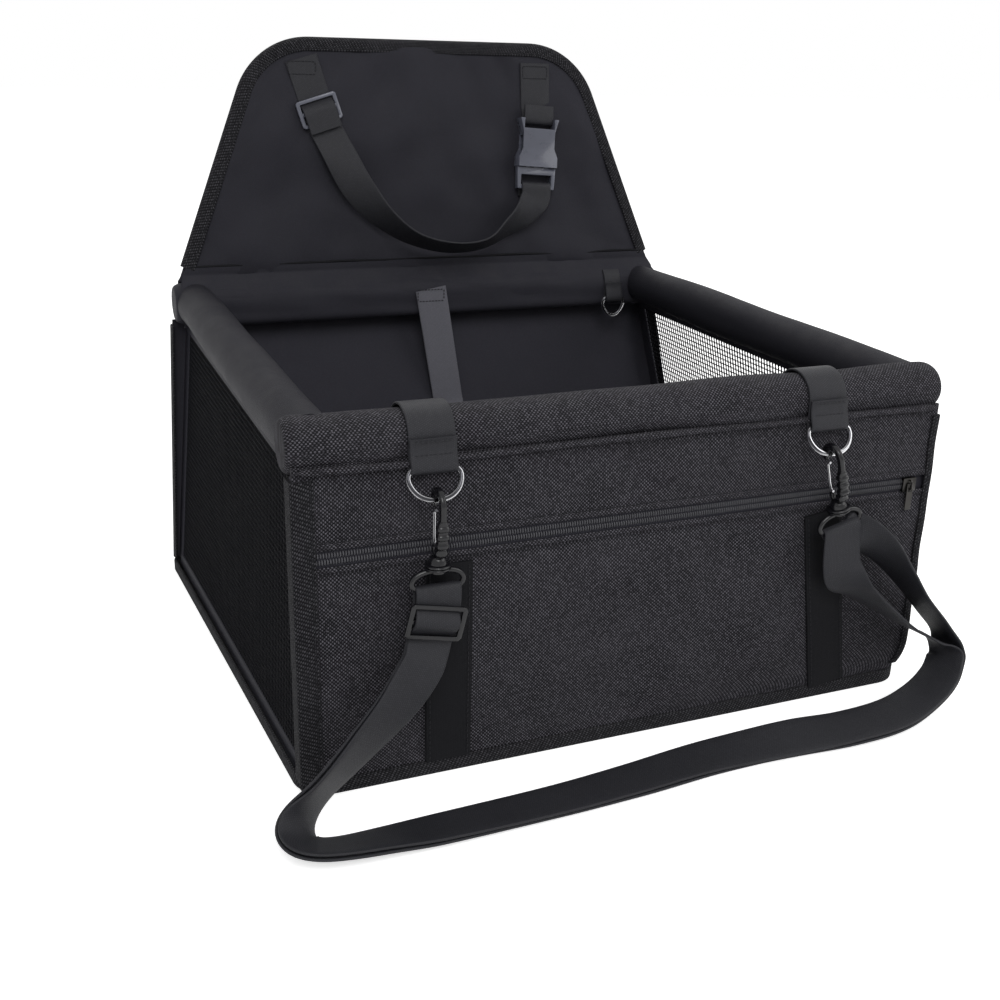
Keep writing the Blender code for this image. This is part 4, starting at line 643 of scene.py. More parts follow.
oxford = cloth_look("oxford_weave", (0.0030, 0.0029, 0.0040), (0.105, 0.101, 0.116), 960.0, 0.00030, 0.80,
                    contrast=1.0, lint=0.30)
SATIN_DARK, SATIN_LIGHT = (0.0175, 0.0172, 0.0220), (0.0340, 0.0335, 0.0430)
satin = cloth_look("smooth_cloth", SATIN_DARK, SATIN_LIGHT, 2300.0, 0.00006, 0.62, lint=0.05)
# A darker copy of the smooth cloth for the left and right sleeves: painted shade on the same cloth.
side_satin_painted_shade = cloth_look("side_sleeve_painted_shade", (0.0118, 0.0116, 0.0150), (0.0230, 0.0227, 0.0290), 2300.0,
                        0.00006, 0.62, lint=0.05)
flap_satin = cloth_look("flap_cloth", SATIN_DARK, SATIN_LIGHT, 2300.0, 0.00006, 0.62, lint=0.05, dents=0.024)
# Painted light: lighter than the smooth cloth it matches, to make up for the shade inside the box where this
# cloth lies.
lining = cloth_look("inner_cloth_painted_light", (0.0230, 0.0225, 0.0288), (0.0420, 0.0415, 0.0520), 1800.0, 0.00008, 0.70,
                    lint=0.05)
web_look = cloth_look("ribbed_webbing", (0.0135, 0.0137, 0.0165), (0.0360, 0.0362, 0.0430), 1000.0, 0.00012,
                      0.50, gloss=0.20, stretch=1.7, lint=0.05, contrast=0.6, dust=0.04)
# A much lighter copy of the webbing for the leash: painted light and sheen on a leash that lies in the shade
# inside the box.
leash_painted_light = cloth_look("leash_webbing_painted_light", (0.0950, 0.0945, 0.1100), (0.1700, 0.1690, 0.1950), 1000.0,
                        0.00012, 0.50, gloss=0.20, stretch=1.7, lint=0.05, contrast=0.5, dust=0.06)
band_look = cloth_look("sewn_band", (0.0072, 0.0073, 0.0086), (0.0170, 0.0170, 0.0195), 1000.0, 0.00010, 0.60,
                       gloss=0.06, stretch=1.7, lint=0.04, contrast=0.5, dust=0.04)
binding = cloth_look("coarse_tape", (0.0035, 0.0035, 0.0045), (0.066, 0.065, 0.072), 900.0, 0.00045, 0.85,
                     slant=0.5, contrast=0.95, lint=0.3)
net_look = cloth_look("knitted_net", (0.0045, 0.0045, 0.0055), (0.0170, 0.0170, 0.0200), 1500.0, 0.00010,
                      0.85, gloss=0.04, dust=0.03, lint=0.02)
thread_look = cloth_look("sewing_thread", (0.010, 0.010, 0.012), (0.050, 0.050, 0.055), 2600.0, 0.00006, 0.7,
                         stretch=0.3)
hook_plastic = plastic_look("black_nylon", (0.0045, 0.0045, 0.0058), 0.16, coat=0.1)
buckle_plastic = plastic_look("slate_plastic", (0.072, 0.076, 0.098), 0.24, coat=0.3)
# The rings' base colour carries a painted dark reflection where the wire faces the eye.
chrome = metal_look("bright_plating", (0.80, 0.80, 0.82), 0.10, painted_reflection=(0.045, 0.045, 0.050))
dark_metal = metal_look("dark_plating", (0.045, 0.043, 0.041), 0.28)
tube_look = plastic_look("tube_plastic_white", (0.60, 0.60, 0.58), 0.40)
board_look = plastic_look("board_grey", (0.10, 0.10, 0.10), 0.60)
coil_look = plastic_look("coil_nylon", (0.030, 0.030, 0.034), 0.40)


# Camera, light and floor

CAMERA_SENSOR = 36
FLOOR_HALF = 8
FLOOR_WHITE = (0.84, 0.84, 0.84, 1)
FLOOR_GLOW = 0.62
WORLD_LIGHT = 0.50
LAMPS = [("key_lamp", (-0.5, -1.9, 2.1), (0, 0, 0.1), 1.5, 33),
         ("fill_lamp", (1.6, -1.1, 1.3), (0, 0, 0.1), 1.5, 11),
         ("back_lamp", (0.5, 1.5, 2.2), (0, 0, 0.15), 1.4, 17)]


def set_camera():
    """The photograph's camera: azimuth, elevation and roll about its own axis."""
    back = np.array([math.sin(CAMERA_AZIMUTH) * math.cos(CAMERA_ELEVATION),
                     -math.cos(CAMERA_AZIMUTH) * math.cos(CAMERA_ELEVATION), math.sin(CAMERA_ELEVATION)])
    right = unit(np.cross([0, 0, 1.0], back))
    up = np.cross(back, right)
    turn, tip = math.cos(CAMERA_ROLL), math.sin(CAMERA_ROLL)
    matrix = np.eye(4)
    matrix[:3, 0] = turn * right + tip * up
    matrix[:3, 1] = -tip * right + turn * up
    matrix[:3, 2] = back
    matrix[:3, 3] = CAMERA_AT
    data = bpy.data.cameras.new("photo_camera")
    data.lens = CAMERA_LENS
    data.sensor_width = CAMERA_SENSOR
    camera = bpy.data.objects.new("photo_camera", data)
    camera.matrix_world = Matrix(matrix.tolist())
    scene.collection.objects.link(camera)
    scene.camera = camera


def add_lamp(name, at, aim, size, power):
    """A round area lamp that looks from its place at its aim."""
    data = bpy.data.lights.new(name, "AREA")
    data.shape = "DISK"
    data.size = size
    data.energy = power
    lamp = bpy.data.objects.new(name, data)
    away = unit(np.array(at, float) - np.array(aim, float))
    right = unit(np.cross([0, 0, 1.0], away))
    matrix = np.eye(4)
    matrix[:3, 0], matrix[:3, 1], matrix[:3, 2], matrix[:3, 3] = right, np.cross(away, right), away, at
    lamp.matrix_world = Matrix(matrix.tolist())
    scene.collection.objects.link(lamp)


def set_stage():
    """A white world, soft lamps, and a pale floor that shows white to the camera round its shadow."""
    world = bpy.data.worlds.new("studio")
    world.use_nodes = True
    scene.world = world
    tree = world.node_tree
    sky = tree.nodes["Background"]
    sky.inputs["Color"].default_value = (1, 1, 1, 1)
    rays = tree.nodes.new("ShaderNodeLightPath").outputs
    shown = maths(tree, "MAXIMUM", rays["Is Glossy Ray"], rays["Is Transmission Ray"])
    seen = maths(tree, "MAXIMUM", rays["Is Camera Ray"], shown)
    feed(tree, sky.inputs["Strength"], maths(tree, "MULTIPLY_ADD", seen, 1 - WORLD_LIGHT, WORLD_LIGHT))
    look = bpy.data.materials.new("floor_white")
    look.use_nodes = True
    tree = look.node_tree
    tree.nodes.remove(tree.nodes["Principled BSDF"])
    matt = tree.nodes.new("ShaderNodeBsdfDiffuse")
    matt.inputs["Color"].default_value = FLOOR_WHITE
    glow = tree.nodes.new("ShaderNodeEmission")
    rays = tree.nodes.new("ShaderNodeLightPath").outputs
    seen = maths(tree, "MAXIMUM", rays["Is Camera Ray"], rays["Is Glossy Ray"])
    feed(tree, glow.inputs["Strength"], maths(tree, "MULTIPLY", seen, FLOOR_GLOW))
    both = tree.nodes.new("ShaderNodeAddShader")
    feed(tree, both.inputs[0], matt.outputs[0])
    feed(tree, both.inputs[1], glow.outputs[0])
    feed(tree, tree.nodes["Material Output"].inputs["Surface"], both.outputs[0])
    mesh = bpy.data.meshes.new("studio_floor")
    half = FLOOR_HALF
    corners = [(-half, -half, 0), (half, -half, 0), (half, half, 0), (-half, half, 0)]
    mesh.from_pydata(corners, [], [(0, 1, 2, 3)])
    mesh.materials.append(look)
    floor = bpy.data.objects.new("studio_floor", mesh)
    scene.collection.objects.link(floor)
    for lamp in LAMPS:
        add_lamp(*lamp)
    scene.view_settings.view_transform = "Standard"


set_camera()
set_stage()


# The carry strap, from the slider under the left hook along the ground to the right hook and back

RING_Y = -0.1647
RING_BAR_Z = 0.1815
RING_TILT = math.radians(30)
RING_SPAN = 0.0302
RING_DROP = 0.0170
RING_WIRE = 0.0015
LEFT_RING_X = -0.127
RIGHT_RING_X = 0.1145
HOOK_TILT = math.radians(15)
HOOK_HANG = 0.0349
DISC = 0.0011
EYE_NECK = 0.0022
EYE_WIRE = 0.0016
EYE_SPAN = 0.030
EYE_DROP = 0.0105
EYE_BAR = -2 * DISC - SEAM - EYE_NECK + EYE_WIRE * 0.6 - EYE_DROP
EYE_BEND = EYE_WIRE + SEAM + WEB / 2
WEAVE = GLIDE_THICK / 2 + WEB
PLY_GAP = 0.0009
PLY = (WEB + PLY_GAP) / 2
STRAP_STEP = 0.004
X_AXIS = np.array([1.0, 0, 0])
Y_AXIS = np.array([0, 1.0, 0])
Z_AXIS = np.array([0, 0, 1.0])


def hook_frame(ring_x, tilt):
    """The matrix of a hook that hangs from its ring, tilted sideways."""
    low_y = RING_Y - RING_DROP * math.sin(RING_TILT)
    low_z = RING_BAR_Z - RING_DROP * math.cos(RING_TILT)
    return tilted((ring_x - HOOK_HANG * math.sin(tilt), low_y, low_z - HOOK_HANG * math.cos(tilt)), 0, tilt)


LEFT_HOOK = hook_frame(LEFT_RING_X, 0.0)
RIGHT_HOOK = hook_frame(RIGHT_RING_X, -HOOK_TILT)
STRAP_GLIDE = tilted((-0.1295, -0.1791, 0.1010), math.radians(3), math.radians(12))

# Rows of place and width direction: both plies together, then each at the right hook
SHARED_ROUTE = [
    (-0.1365, -0.1805, 0.0800, 0.93, 0.00, -0.35), (-0.1440, -0.1828, 0.0700, 0.88, 0.00, -0.45),
    (-0.1545, -0.1850, 0.0580, 0.80, 0.18, -0.56), (-0.1690, -0.1870, 0.0445, 0.69, 0.36, -0.61),
    (-0.1830, -0.1895, 0.0325, 0.60, 0.50, -0.60), (-0.1970, -0.1935, 0.0225, 0.56, 0.57, -0.56),
    (-0.2080, -0.1990, 0.0145, 0.68, 0.42, -0.56), (-0.2125, -0.2065, 0.0092, 0.86, 0.18, -0.46),
    (-0.2105, -0.2135, 0.0072, 0.80, 0.50, -0.34), (-0.2030, -0.2180, 0.0062, 0.48, 0.82, -0.30),
    (-0.1900, -0.2200, 0.0056, 0.12, 0.95, -0.27), (-0.1700, -0.2200, 0.0048, 0.00, 0.98, -0.20),
    (-0.1417, -0.2198, 0.0040, 0.00, 1.00, -0.08), (-0.0736, -0.2180, 0.0036, 0.00, 1.00, 0.00),
    (-0.0268, -0.2145, 0.0037, 0.00, 1.00, 0.06), (0.0171, -0.2105, 0.0044, 0.00, 0.99, 0.14),
    (0.0500, -0.2105, 0.0054, 0.00, 0.97, 0.24), (0.0845, -0.2122, 0.0068, 0.00, 0.94, 0.34),
    (0.1200, -0.2130, 0.0064, -0.02, 0.97, 0.24), (0.1560, -0.2110, 0.0076, -0.08, 0.97, 0.22),
    (0.1850, -0.2025, 0.0108, -0.20, 0.96, 0.12), (0.2030, -0.1955, 0.0178, -0.22, 0.97, 0.08),
    (0.2108, -0.1905, 0.0290, -0.15, 0.98, 0.03)]
RIGHT_PLY_ROUTE = [
    (0.2100, -0.1875, 0.0400, -0.10, 0.99, -0.02), (0.2000, -0.1840, 0.0535, -0.10, 0.99, -0.08),
    (0.1824, -0.1825, 0.0730, -0.12, 0.98, -0.08), (0.1670, -0.1812, 0.0915, -0.35, 0.92, -0.12),
    (0.1480, -0.1790, 0.1100, -0.80, 0.55, -0.15)]
LEFT_PLY_ROUTE = [
    (0.2055, -0.1872, 0.0365, -0.10, 0.99, -0.02), (0.1945, -0.1840, 0.0425, -0.10, 0.99, -0.05),
    (0.1793, -0.1825, 0.0510, -0.12, 0.98, -0.05), (0.1624, -0.1815, 0.0629, -0.25, 0.95, -0.10),
    (0.1450, -0.1805, 0.0760, -0.50, 0.85, -0.15), (0.1330, -0.1800, 0.0855, -0.85, 0.50, -0.10),
    (0.1272, -0.1793, 0.0965, -0.98, 0.15, 0.00)]


def rows_on(matrix, points, across=X_AXIS):
    """Route rows: points of a small frame in the seat's axes, with the frame's width direction."""
    points = carry(matrix, points)
    return np.hstack([points, np.broadcast_to(unit(matrix[:3, :3] @ across), points.shape)])


def through_slider(matrix, shares, depth=WEAVE):
    """Webbing round a slider's bars: rows of side (1 behind, -1 before) and height in half heights."""
    return rows_on(matrix, [(0, side * depth, share * GLIDE_HEIGHT / 2) for side, share in shares])


def over_bar(matrix, start, end, across=X_AXIS):
    """The webbing's half turn over an eye's bar."""
    turn = arc(0, 0, EYE_BEND, start, end, 12)
    return rows_on(matrix, np.stack([turn[:, 0] * 0, turn[:, 0], turn[:, 1] + EYE_BAR], axis=1), across)


def shifted(rows, distance):
    """Rows moved off their flat side by a distance."""
    run = unit(np.gradient(rows[:, :3], axis=0))
    off = unit(np.cross(run, rows[:, 3:]))
    return np.hstack([rows[:, :3] + off * distance, np.cross(off, run)])


def even(rows, step=0.0015):
    """The same route resampled evenly, its corners eased by a short average."""
    mark = lengths(rows[:, :3])
    at = np.linspace(0, mark[-1], int(mark[-1] / step) + 1)
    found = np.stack([np.interp(at, mark, rows[:, column]) for column in range(rows.shape[1])], axis=1)
    for turn in range(3):
        found[1:-1] = (found[:-2] + 2 * found[1:-1] + found[2:]) / 4
    return found


def strap_routes():
    """The whole strap's rows in two stretches, which meet on the right eye's bar."""
    tail = rows_on(LEFT_HOOK, [(0, EYE_BEND, EYE_BAR - GLIDE_HEIGHT),
                               (0, EYE_BEND, EYE_BAR - GLIDE_HEIGHT / 2)])
    over_left = over_bar(LEFT_HOOK, 0, 180)
    down = through_slider(STRAP_GLIDE, [(1, 1), (1, 0.72), (0, 0.44), (-1, 0.16), (-1, -0.16), (0, -0.44),
                                        (1, -0.72), (1, -1.2)])
    finish_up = through_slider(STRAP_GLIDE, [(1, -0.9), (1, -0.1)], WEAVE + WEB + 2 * SEAM)
    over_right = over_bar(RIGHT_HOOK, 180, 0, -X_AXIS)
    shared = smooth(SHARED_ROUTE, STRAP_STEP)
    outer, inner = shifted(shared, PLY), shifted(shared, -PLY)
    share = np.linspace(0, 1, len(inner))
    inner[:, 1] += ripple(share, 0, 71, 0.0030, 0.12) * np.sin(np.pi * share)
    outward = smooth(np.vstack([outer[-1:], LEFT_PLY_ROUTE, over_right[:1]]), STRAP_STEP)[1:-1]
    homeward = smooth(np.vstack([over_right[-1:], RIGHT_PLY_ROUTE[::-1], inner[-1:]]), STRAP_STEP)[1:-1]
    first = np.vstack([tail, over_left, down, outer, outward, over_right[:8]])
    second = np.vstack([over_right[6:], homeward, inner[::-1], finish_up])
    return even(first), even(second)


def build_strap():
    """Two plies of one strap, each with both ends on the object."""
    for name, rows in zip(("strap_outer_ply", "strap_inner_ply"), strap_routes()):
        ply = piece(name, [band(rows)], web_look, "strap", ("carry_strap",))
    glide = refined("strap_slider", "strap_slider_bar", hook_plastic, "strap", 0.0006)


build_strap()


# Panels of the box

EDGE_TAPE_SECTION = (0.0090, 0.0022)
EDGE_TAPE_Z = 0.0046
EDGE_TAPE_PROUD = 0.0004
QUILT_ROWS, QUILT_COLUMNS = 13, 14
FRONT_HALF = BASE_FRONT_WIDTH / 2 - PANEL_INSET
LEFT_BAND = (-0.117, -0.117)
RIGHT_BAND = (0.138, 0.121)
BAND_WIDTH = 0.0265
BAND_TOP = 0.1185
FOOT_ROUND = 0.020
RIGHT_TAPE = 0.0040
RIGHT_TAPE_FOOT = 0.0055
POCKET_TOP = ZIP_HEIGHT - ZIP_HALF_OPENING
FACING_FOOT = ZIP_HEIGHT + ZIP_HALF_OPENING
FACING_TOP = 0.1786
FRONT_LINING_TOP = 0.1735
FRONT_CLOTH = 0.0021
CLOTH_PROUD = 0.0001


def base_half(y, inset, corner=BASE_CORNER):
    """Half the base's width at a depth y, with its four corners rounded.

    Within a corner radius r of an end, at a distance d from it, the width draws in by
    r - sqrt(r^2 - (r - d)^2) on each side.
    """
    share = (y + BASE_DEPTH / 2) / BASE_DEPTH
    half = (BASE_FRONT_WIDTH + (BASE_BACK_WIDTH - BASE_FRONT_WIDTH) * share) / 2 - inset
    r = max(corner - inset, 0.001)
    d = BASE_DEPTH / 2 - inset - np.abs(y)
    close = np.clip(r - d, 0, r)
    return half - (r - np.sqrt(np.maximum(r * r - close * close, 0)))


def base_grid(inset, rows, columns):
    """Plan points of the base, closer together near the front and back edges."""
    share = (1 - np.cos(np.linspace(0, np.pi, rows))) / 2
    y = (2 * share - 1) * (BASE_DEPTH / 2 - inset)
    left = base_half(y, inset)
    right = np.where(y < 0, base_half(y, inset, SOFT_CORNER), left)
    share = np.linspace(-1, 1, columns)[None, :]
    x = share * np.where(share > 0, right[:, None], left[:, None])
    return x, np.broadcast_to(y[:, None], x.shape)


def base_outline(inset):
    """The base in plan as a closed line of points, its corners quarter circles."""
    front_x, back_x = BASE_FRONT_WIDTH / 2 - inset, BASE_BACK_WIDTH / 2 - inset
    depth = BASE_DEPTH / 2 - inset
    r, soft = BASE_CORNER - inset, SOFT_CORNER - inset
    side = np.concatenate([arc(front_x - soft, -depth + soft, soft, -90, 0, 10),
                           arc(back_x - r, depth - r, r, 0, 90, 8)])
    line = np.concatenate([side, side[::-1] * np.array([-1, 1]), side[:1]])
    mark = lengths(line)
    at = np.arange(0, mark[-1], 0.0015)
    return np.stack([np.interp(at, mark, line[:, axis]) for axis in range(2)], axis=1)


def level_sheet(x, y, top, low, v):
    """A closed sheet over plan points, between two heights."""
    faces = [np.stack([x, y, np.broadcast_to(z, x.shape)], axis=-1) for z in (top, low)]
    return slab(*faces, y[:, 0], v)


def sewn_edges(x, foot, top, side):
    """The grid points that seams hold: so many rows at the foot and top, and columns at each side."""
    sewn = np.zeros(x.shape, bool)
    sewn[:foot] = sewn[len(sewn) - top:] = True
    sewn[:, :side] = sewn[:, -side:] = True
    return sewn


def held_slab(sewn, front=True):
    """A slab's held points where only its front, or only its back, is loose between the seams."""
    whole = np.ones_like(sewn)
    return np.concatenate([sewn, whole] if front else [whole, sewn[:, ::-1]], axis=1).ravel()


def build_base():
    """Underside cloth, quilted floor pad and the tape round their edge."""
    x, y = base_grid(TAPE + SEAM, 30, 40)
    piece("base_underside", [level_sheet(x, y, SKIN, 0.0, x[0])], oxford, "basket",
          ("base_cover",))
    x, y = base_grid(TAPE + 3 * SEAM, 66, 84)
    face = FLOOR - 0.0004 + ripple(x, y, 5, 0.0003, 0.09)
    sheet = level_sheet(x, y, face, FLOOR - PAD, np.linspace(-0.2, 0.2, x.shape[1]))
    pad = piece("floor_cushion", [sheet], lining, "basket", ("floor_pad",))
    quilt = sewn_edges(x, 2, 2, 2)
    quilt[:, ::QUILT_COLUMNS] = True
    quilt[::QUILT_ROWS] = True
    settle(pad, held_slab(quilt), 3.0, 0.004, 0.0040)
    finer(pad)
    outline = base_outline(-EDGE_TAPE_PROUD)
    path = np.column_stack([outline, np.full(len(outline), EDGE_TAPE_Z)])
    section = flat_section(*EDGE_TAPE_SECTION, 6)
    around = lengths(np.vstack([path, path[:1]]))[:-1]
    tape = shell(swept(path, Z_AXIS, section, closed=True), around, lengths(section), wrap_u=True,
                 wrap_v=True)
    piece("base_edge_tape", [tape], binding, "basket", ("base_binding",))


build_base()


def wall_panel(name, place, half, low, high, front_out, thick, rows, columns, look, slot, replaces, seed,
               size, round_foot=False):
    """A flat sewn panel with low ripples that die away at its edges.

    out = front_out + ripple sin(pi s) sin(pi t), with s and t from 0 to 1 across and up it.  A
    round foot draws in the lower right corner as a quarter circle.
    """
    up = np.linspace(low, high, rows)[:, None]
    width = half(up) if callable(half) else half
    drop = np.maximum(FOOT_ROUND ** 2 - (FOOT_ROUND - up) ** 2, 0)
    right = np.where(up < FOOT_ROUND, width - FOOT_ROUND + np.sqrt(drop), width) if round_foot else width
    across = np.linspace(-1, 1, columns)[None, :]
    x = across * np.where(across > 0, right, width) * np.ones_like(up)
    up = np.broadcast_to(up, x.shape)
    t = (up - low) / (high - low)
    fade = np.clip(np.minimum(np.sin(np.pi * t), np.cos(across * np.pi / 2)) * 3, 0, 1)
    rise = ripple(x, up, seed, size, 0.11) * fade
    front = place(x, front_out + rise, up)
    back = place(x, front_out - thick, up)
    made = piece(name, [slab(front, back, up[:, 0], x[0])], look, "basket", replaces)
    return made, x, up


def build_front():
    """Pocket panel with its sewn-on bands, facing and lining."""
    pocket, x, up = wall_panel("pocket_cloth", on_front, FRONT_HALF, 0, POCKET_TOP, CLOTH_PROUD, FRONT_CLOTH,
                               60, 150, oxford, "oxford_cloth", ("pocket_panel",), 11, 0.0009, True)
    sewn = sewn_edges(x, 3, 3, 4)
    for foot, top in (LEFT_BAND, RIGHT_BAND):
        middle = foot + (top - foot) * up / BAND_TOP
        sewn |= (np.abs(x - middle) < BAND_WIDTH / 2 + 0.002) & (up < BAND_TOP + 0.004)
    settle(pocket, held_slab(sewn), 1.6, 0.006, 0.0022)
    facing, x, up = wall_panel("facing_cloth", on_front, FRONT_HALF, FACING_FOOT, FACING_TOP, CLOTH_PROUD,
                               FRONT_CLOTH, 24, 150, oxford, "oxford_cloth", ("front_facing",), 12, 0.0010)
    settle(facing, held_slab(sewn_edges(x, 2, 1, 3)), 1.0, 0.006, 0.0014)
    wall_panel("front_lining", on_front, FRONT_HALF, 0, FRONT_LINING_TOP, -FACING - SEAM, WALL, 30, 60,
               lining, "smooth_lining", ("front_wall",), 13, 0.0002, True)
    for side, (foot, top) in (("left", LEFT_BAND), ("right", RIGHT_BAND)):
        t = np.linspace(0, 1, 40)
        middle = foot + (top - foot) * t
        line = on_front(middle, SEAM + WEB / 2 + 0.0002, 0.001 + (BAND_TOP - 0.001) * t)
        rows = np.hstack([line, np.broadcast_to(X_AXIS, line.shape)])
        piece(side + "_pocket_band", [band(rows, BAND_WIDTH)], band_look, "basket",
              (side + "_front_band",))
        seams = [stitches(on_front(middle + edge * (BAND_WIDTH / 2 - 0.0022), SEAM + WEB + 0.0003,
                                   0.002 + (BAND_TOP - 0.003) * t), -Y_AXIS) for edge in (-1, 1)]
        piece(side + "_band_stitches", seams, thread_look, "basket")


build_front()


# Zip

TAPE_HALF = 0.190
COIL_PITCH = 0.00148
COIL_WIRE = 0.00052
COIL_START, COIL_END = -0.1878, 0.1822
WELT_HALF = 0.1960
WELT_RADIUS = 0.0019


def coil_shell(sign):
    """One side's teeth: half turns of wire, each an arch over the tape, one pitch apart.

    Across the tape a turn runs 0.6 + 1.2 (1 - cos a) mm from the middle and rises 0.15 + 0.9 sin a
    mm, for a from 0 to 180 degrees.
    """
    turn = np.linspace(0, np.pi, 6)
    ring = np.linspace(0, 2 * np.pi, 5, endpoint=False)
    path_up = ZIP_HEIGHT + sign * (0.00060 + 0.00120 * (1 - np.cos(turn)))
    path_out = 0.00015 + 0.00090 * np.sin(turn) - 0.0011
    slope = unit(np.stack([np.gradient(path_up), np.gradient(path_out)], axis=1))
    local_x = np.broadcast_to(np.cos(ring)[None] * COIL_WIRE, (6, 5))
    local_up = path_up[:, None] - slope[:, 1:] * np.sin(ring)[None] * COIL_WIRE
    local_out = path_out[:, None] + slope[:, :1] * np.sin(ring)[None] * COIL_WIRE
    centres = np.arange(COIL_START, COIL_END, COIL_PITCH)
    shift = centres[:, None, None] + (COIL_PITCH / 2 if sign > 0 else 0)
    points = on_front(shift + local_x[None], local_out[None], local_up[None])
    one, faces, uvs = shell(points[0], wrap_v=True)
    faces = (faces[None] + (np.arange(len(centres)) * len(one))[:, None, None]).reshape(-1, 4)
    return points.reshape(-1, 3), faces, np.tile(uvs, (len(centres), 1, 1))


def build_zip():
    """Woven zip tape, two rows of coil and the folded edges of cloth beside them."""
    x = np.linspace(-TAPE_HALF, TAPE_HALF, 90)
    low, high = POCKET_TOP + SEAM, FACING_FOOT - SEAM
    up = np.linspace(low, high, 8)
    front = on_front(x[:, None], -0.0010, up[None, :])
    back = on_front(x[:, None], -0.0020, up[None, :])
    piece("zip_tape_cloth", [slab(front, back, x, up)], lining, "basket", ("zip_tape",))
    piece("zip_coil", [coil_shell(-1), coil_shell(1)], coil_look, "basket", ("zip_teeth",),
          crease=80)
    x = np.linspace(-0.187, 0.187, 120)
    seams = [stitches(on_front(x, 0.0006, where), -Y_AXIS, 0.0030, 0.0019, 0.00028)
             for where in (low - 0.0030, high + 0.0032)]
    piece("zip_stitches", seams, thread_look, "basket")
    x = np.linspace(-WELT_HALF, WELT_HALF, 120)
    folds = [rod(on_front(x, -0.0002, where), Z_AXIS, WELT_RADIUS, 12, deep=0.6)
             for where in (low - 0.0004, high + 0.0004)]
    piece("zip_welts", folds, oxford, "basket")
    refined("zip_slider", "zip_slider_body", dark_metal, "zip_runner", 0.00025)
    refined("zip_pull", "zip_pull_tab", dark_metal, "zip_tab", 0.00025)


build_zip()


# Back wall and the tapes round the upright edges

OUTER_BACK_TOP = 0.1788
INNER_BACK = (0.0012, 0.1760)
FRONT_TAPE_TOP = 0.1716
BACK_TAPE_TOP = 0.1752
TAPE_FOOT = 0.0004


def back_half(up):
    """Half the back wall's width at a height up its slope."""
    foot, top = BASE_BACK_WIDTH / 2 - PANEL_INSET, RIM_WIDTH / 2 - PANEL_INSET
    return foot + (top - foot) * up * math.cos(BACK_LEAN) / (RIM_Z - WALL_FOOT)


def build_back():
    """Outer cloth and padded inner wall at the back."""
    outer, x, up = wall_panel("back_outer_cloth", on_back, back_half, 0, OUTER_BACK_TOP, FACING, FACING, 50,
                              110, satin, "smooth_lining", ("back_cover",), 21, 0.0)
    settle(outer, held_slab(sewn_edges(x, 2, 1, 3), front=False), 0.8, 0.004, 0.0016)
    inner, x, up = wall_panel("back_inner_wall", on_back, back_half, *INNER_BACK, 0.0052, 0.0029, 50, 110,
                              lining, "smooth_lining", ("back_wall",), 22, 0.0)
    settle(inner, held_slab(sewn_edges(x, 2, 1, 3)), 0.5, 0.004, 0.0012)


build_back()


def corner_tape(name, node, place, edge_x, sign, width, height, forward, foot=TAPE_FOOT):
    """Tape folded round an upright edge: an L of cloth with rounded corners, swept up the edge.

    edge_x gives the edge's place across at each height.
    """
    up = np.linspace(foot, height, 60)
    edge = edge_x(up)
    turn = np.radians(np.linspace(0, 90, 5))
    outer, middle, tip = SEAM + TAPE, SEAM + TAPE / 2, width + TAPE * 0.3
    section = np.array([(-width, outer)] + [(outer * math.sin(a), outer * math.cos(a)) for a in turn]
                       + [(outer, -width), (middle, -tip), (SEAM, -width)]
                       + [(SEAM * math.sin(a), SEAM * math.cos(a)) for a in turn[::-1]]
                       + [(-width, SEAM), (-tip, middle)])
    x = edge[:, None] + sign * section[None, :, 0]
    out = forward * section[None, :, 1] * np.ones_like(x)
    points = place(x, out, up[:, None])
    piece(name, [shell(points, up, lengths(section), wrap_v=True, caps=True)], binding, "basket",
          (node,))
    path = place(edge - sign * (width - 0.0016), forward * (outer + 0.0001), up)
    piece(name + "_stitches", [stitches(path, -Y_AXIS * forward)], thread_look, "basket")


def left_edge(up):
    """The front's left edge, which is straight."""
    return np.full_like(up, -FRONT_HALF)


def right_edge(up):
    """The front's right edge: a quarter circle at the foot, then straight with small puckers."""
    low = np.clip(FOOT_ROUND - up, 0, FOOT_ROUND)
    return (FRONT_HALF - FOOT_ROUND + np.sqrt(np.maximum(FOOT_ROUND ** 2 - low ** 2, 0))
            + ripple(up, 0, 61, 0.0008, 0.02))


for side, sign, edge_x, width, foot in (("left", -1, left_edge, TAPE_WIDTH, TAPE_FOOT),
                                        ("right", 1, right_edge, RIGHT_TAPE, RIGHT_TAPE_FOOT)):
    corner_tape(side + "_front_tape", side + "_front_binding", on_front, edge_x, sign, width, FRONT_TAPE_TOP,
                1, foot)
    corner_tape(side + "_back_tape", side + "_back_binding", on_back,
                lambda up, sign=sign: sign * back_half(up), sign, BACK_TAPE_WIDTH, BACK_TAPE_TOP, -1)


# Nets

NET_THREAD = 0.0005
BORDER_THICK = 0.0016
BORDERS = [((0.012, 0.02), (0.988, 0.02), 0.008), ((0.988, 0.02), (0.988, 0.985), 0.014),
           ((0.988, 0.985), (0.012, 0.985), 0.007), ((0.012, 0.985), (0.012, 0.02), 0.009)]


def net_corners(sign):
    """The CAD's four corners of a side net: foot front, foot back, top back, top front."""
    front_y = -BASE_DEPTH / 2 + FACING + SEAM + WALL + SEAM + NET
    back_y = BASE_DEPTH / 2 - (FACING + SEAM + WALL + SEAM + NET) / math.cos(BACK_LEAN)
    top_z = RIM_Z - SLEEVE_RADIUS - 2 * SEAM
    top_x = RIM_SIDE_X + SLEEVE_RADIUS * 0.35
    front_x = BASE_FRONT_WIDTH / 2 - PANEL_INSET - TAPE - NET
    back_x = BASE_BACK_WIDTH / 2 - PANEL_INSET - TAPE - NET
    return np.array([(sign * front_x, front_y, WALL_FOOT), (sign * back_x, back_y, WALL_FOOT),
                     (sign * top_x, back_y + (top_z - WALL_FOOT) * math.tan(BACK_LEAN), top_z),
                     (sign * top_x, front_y + 0.004, top_z)])


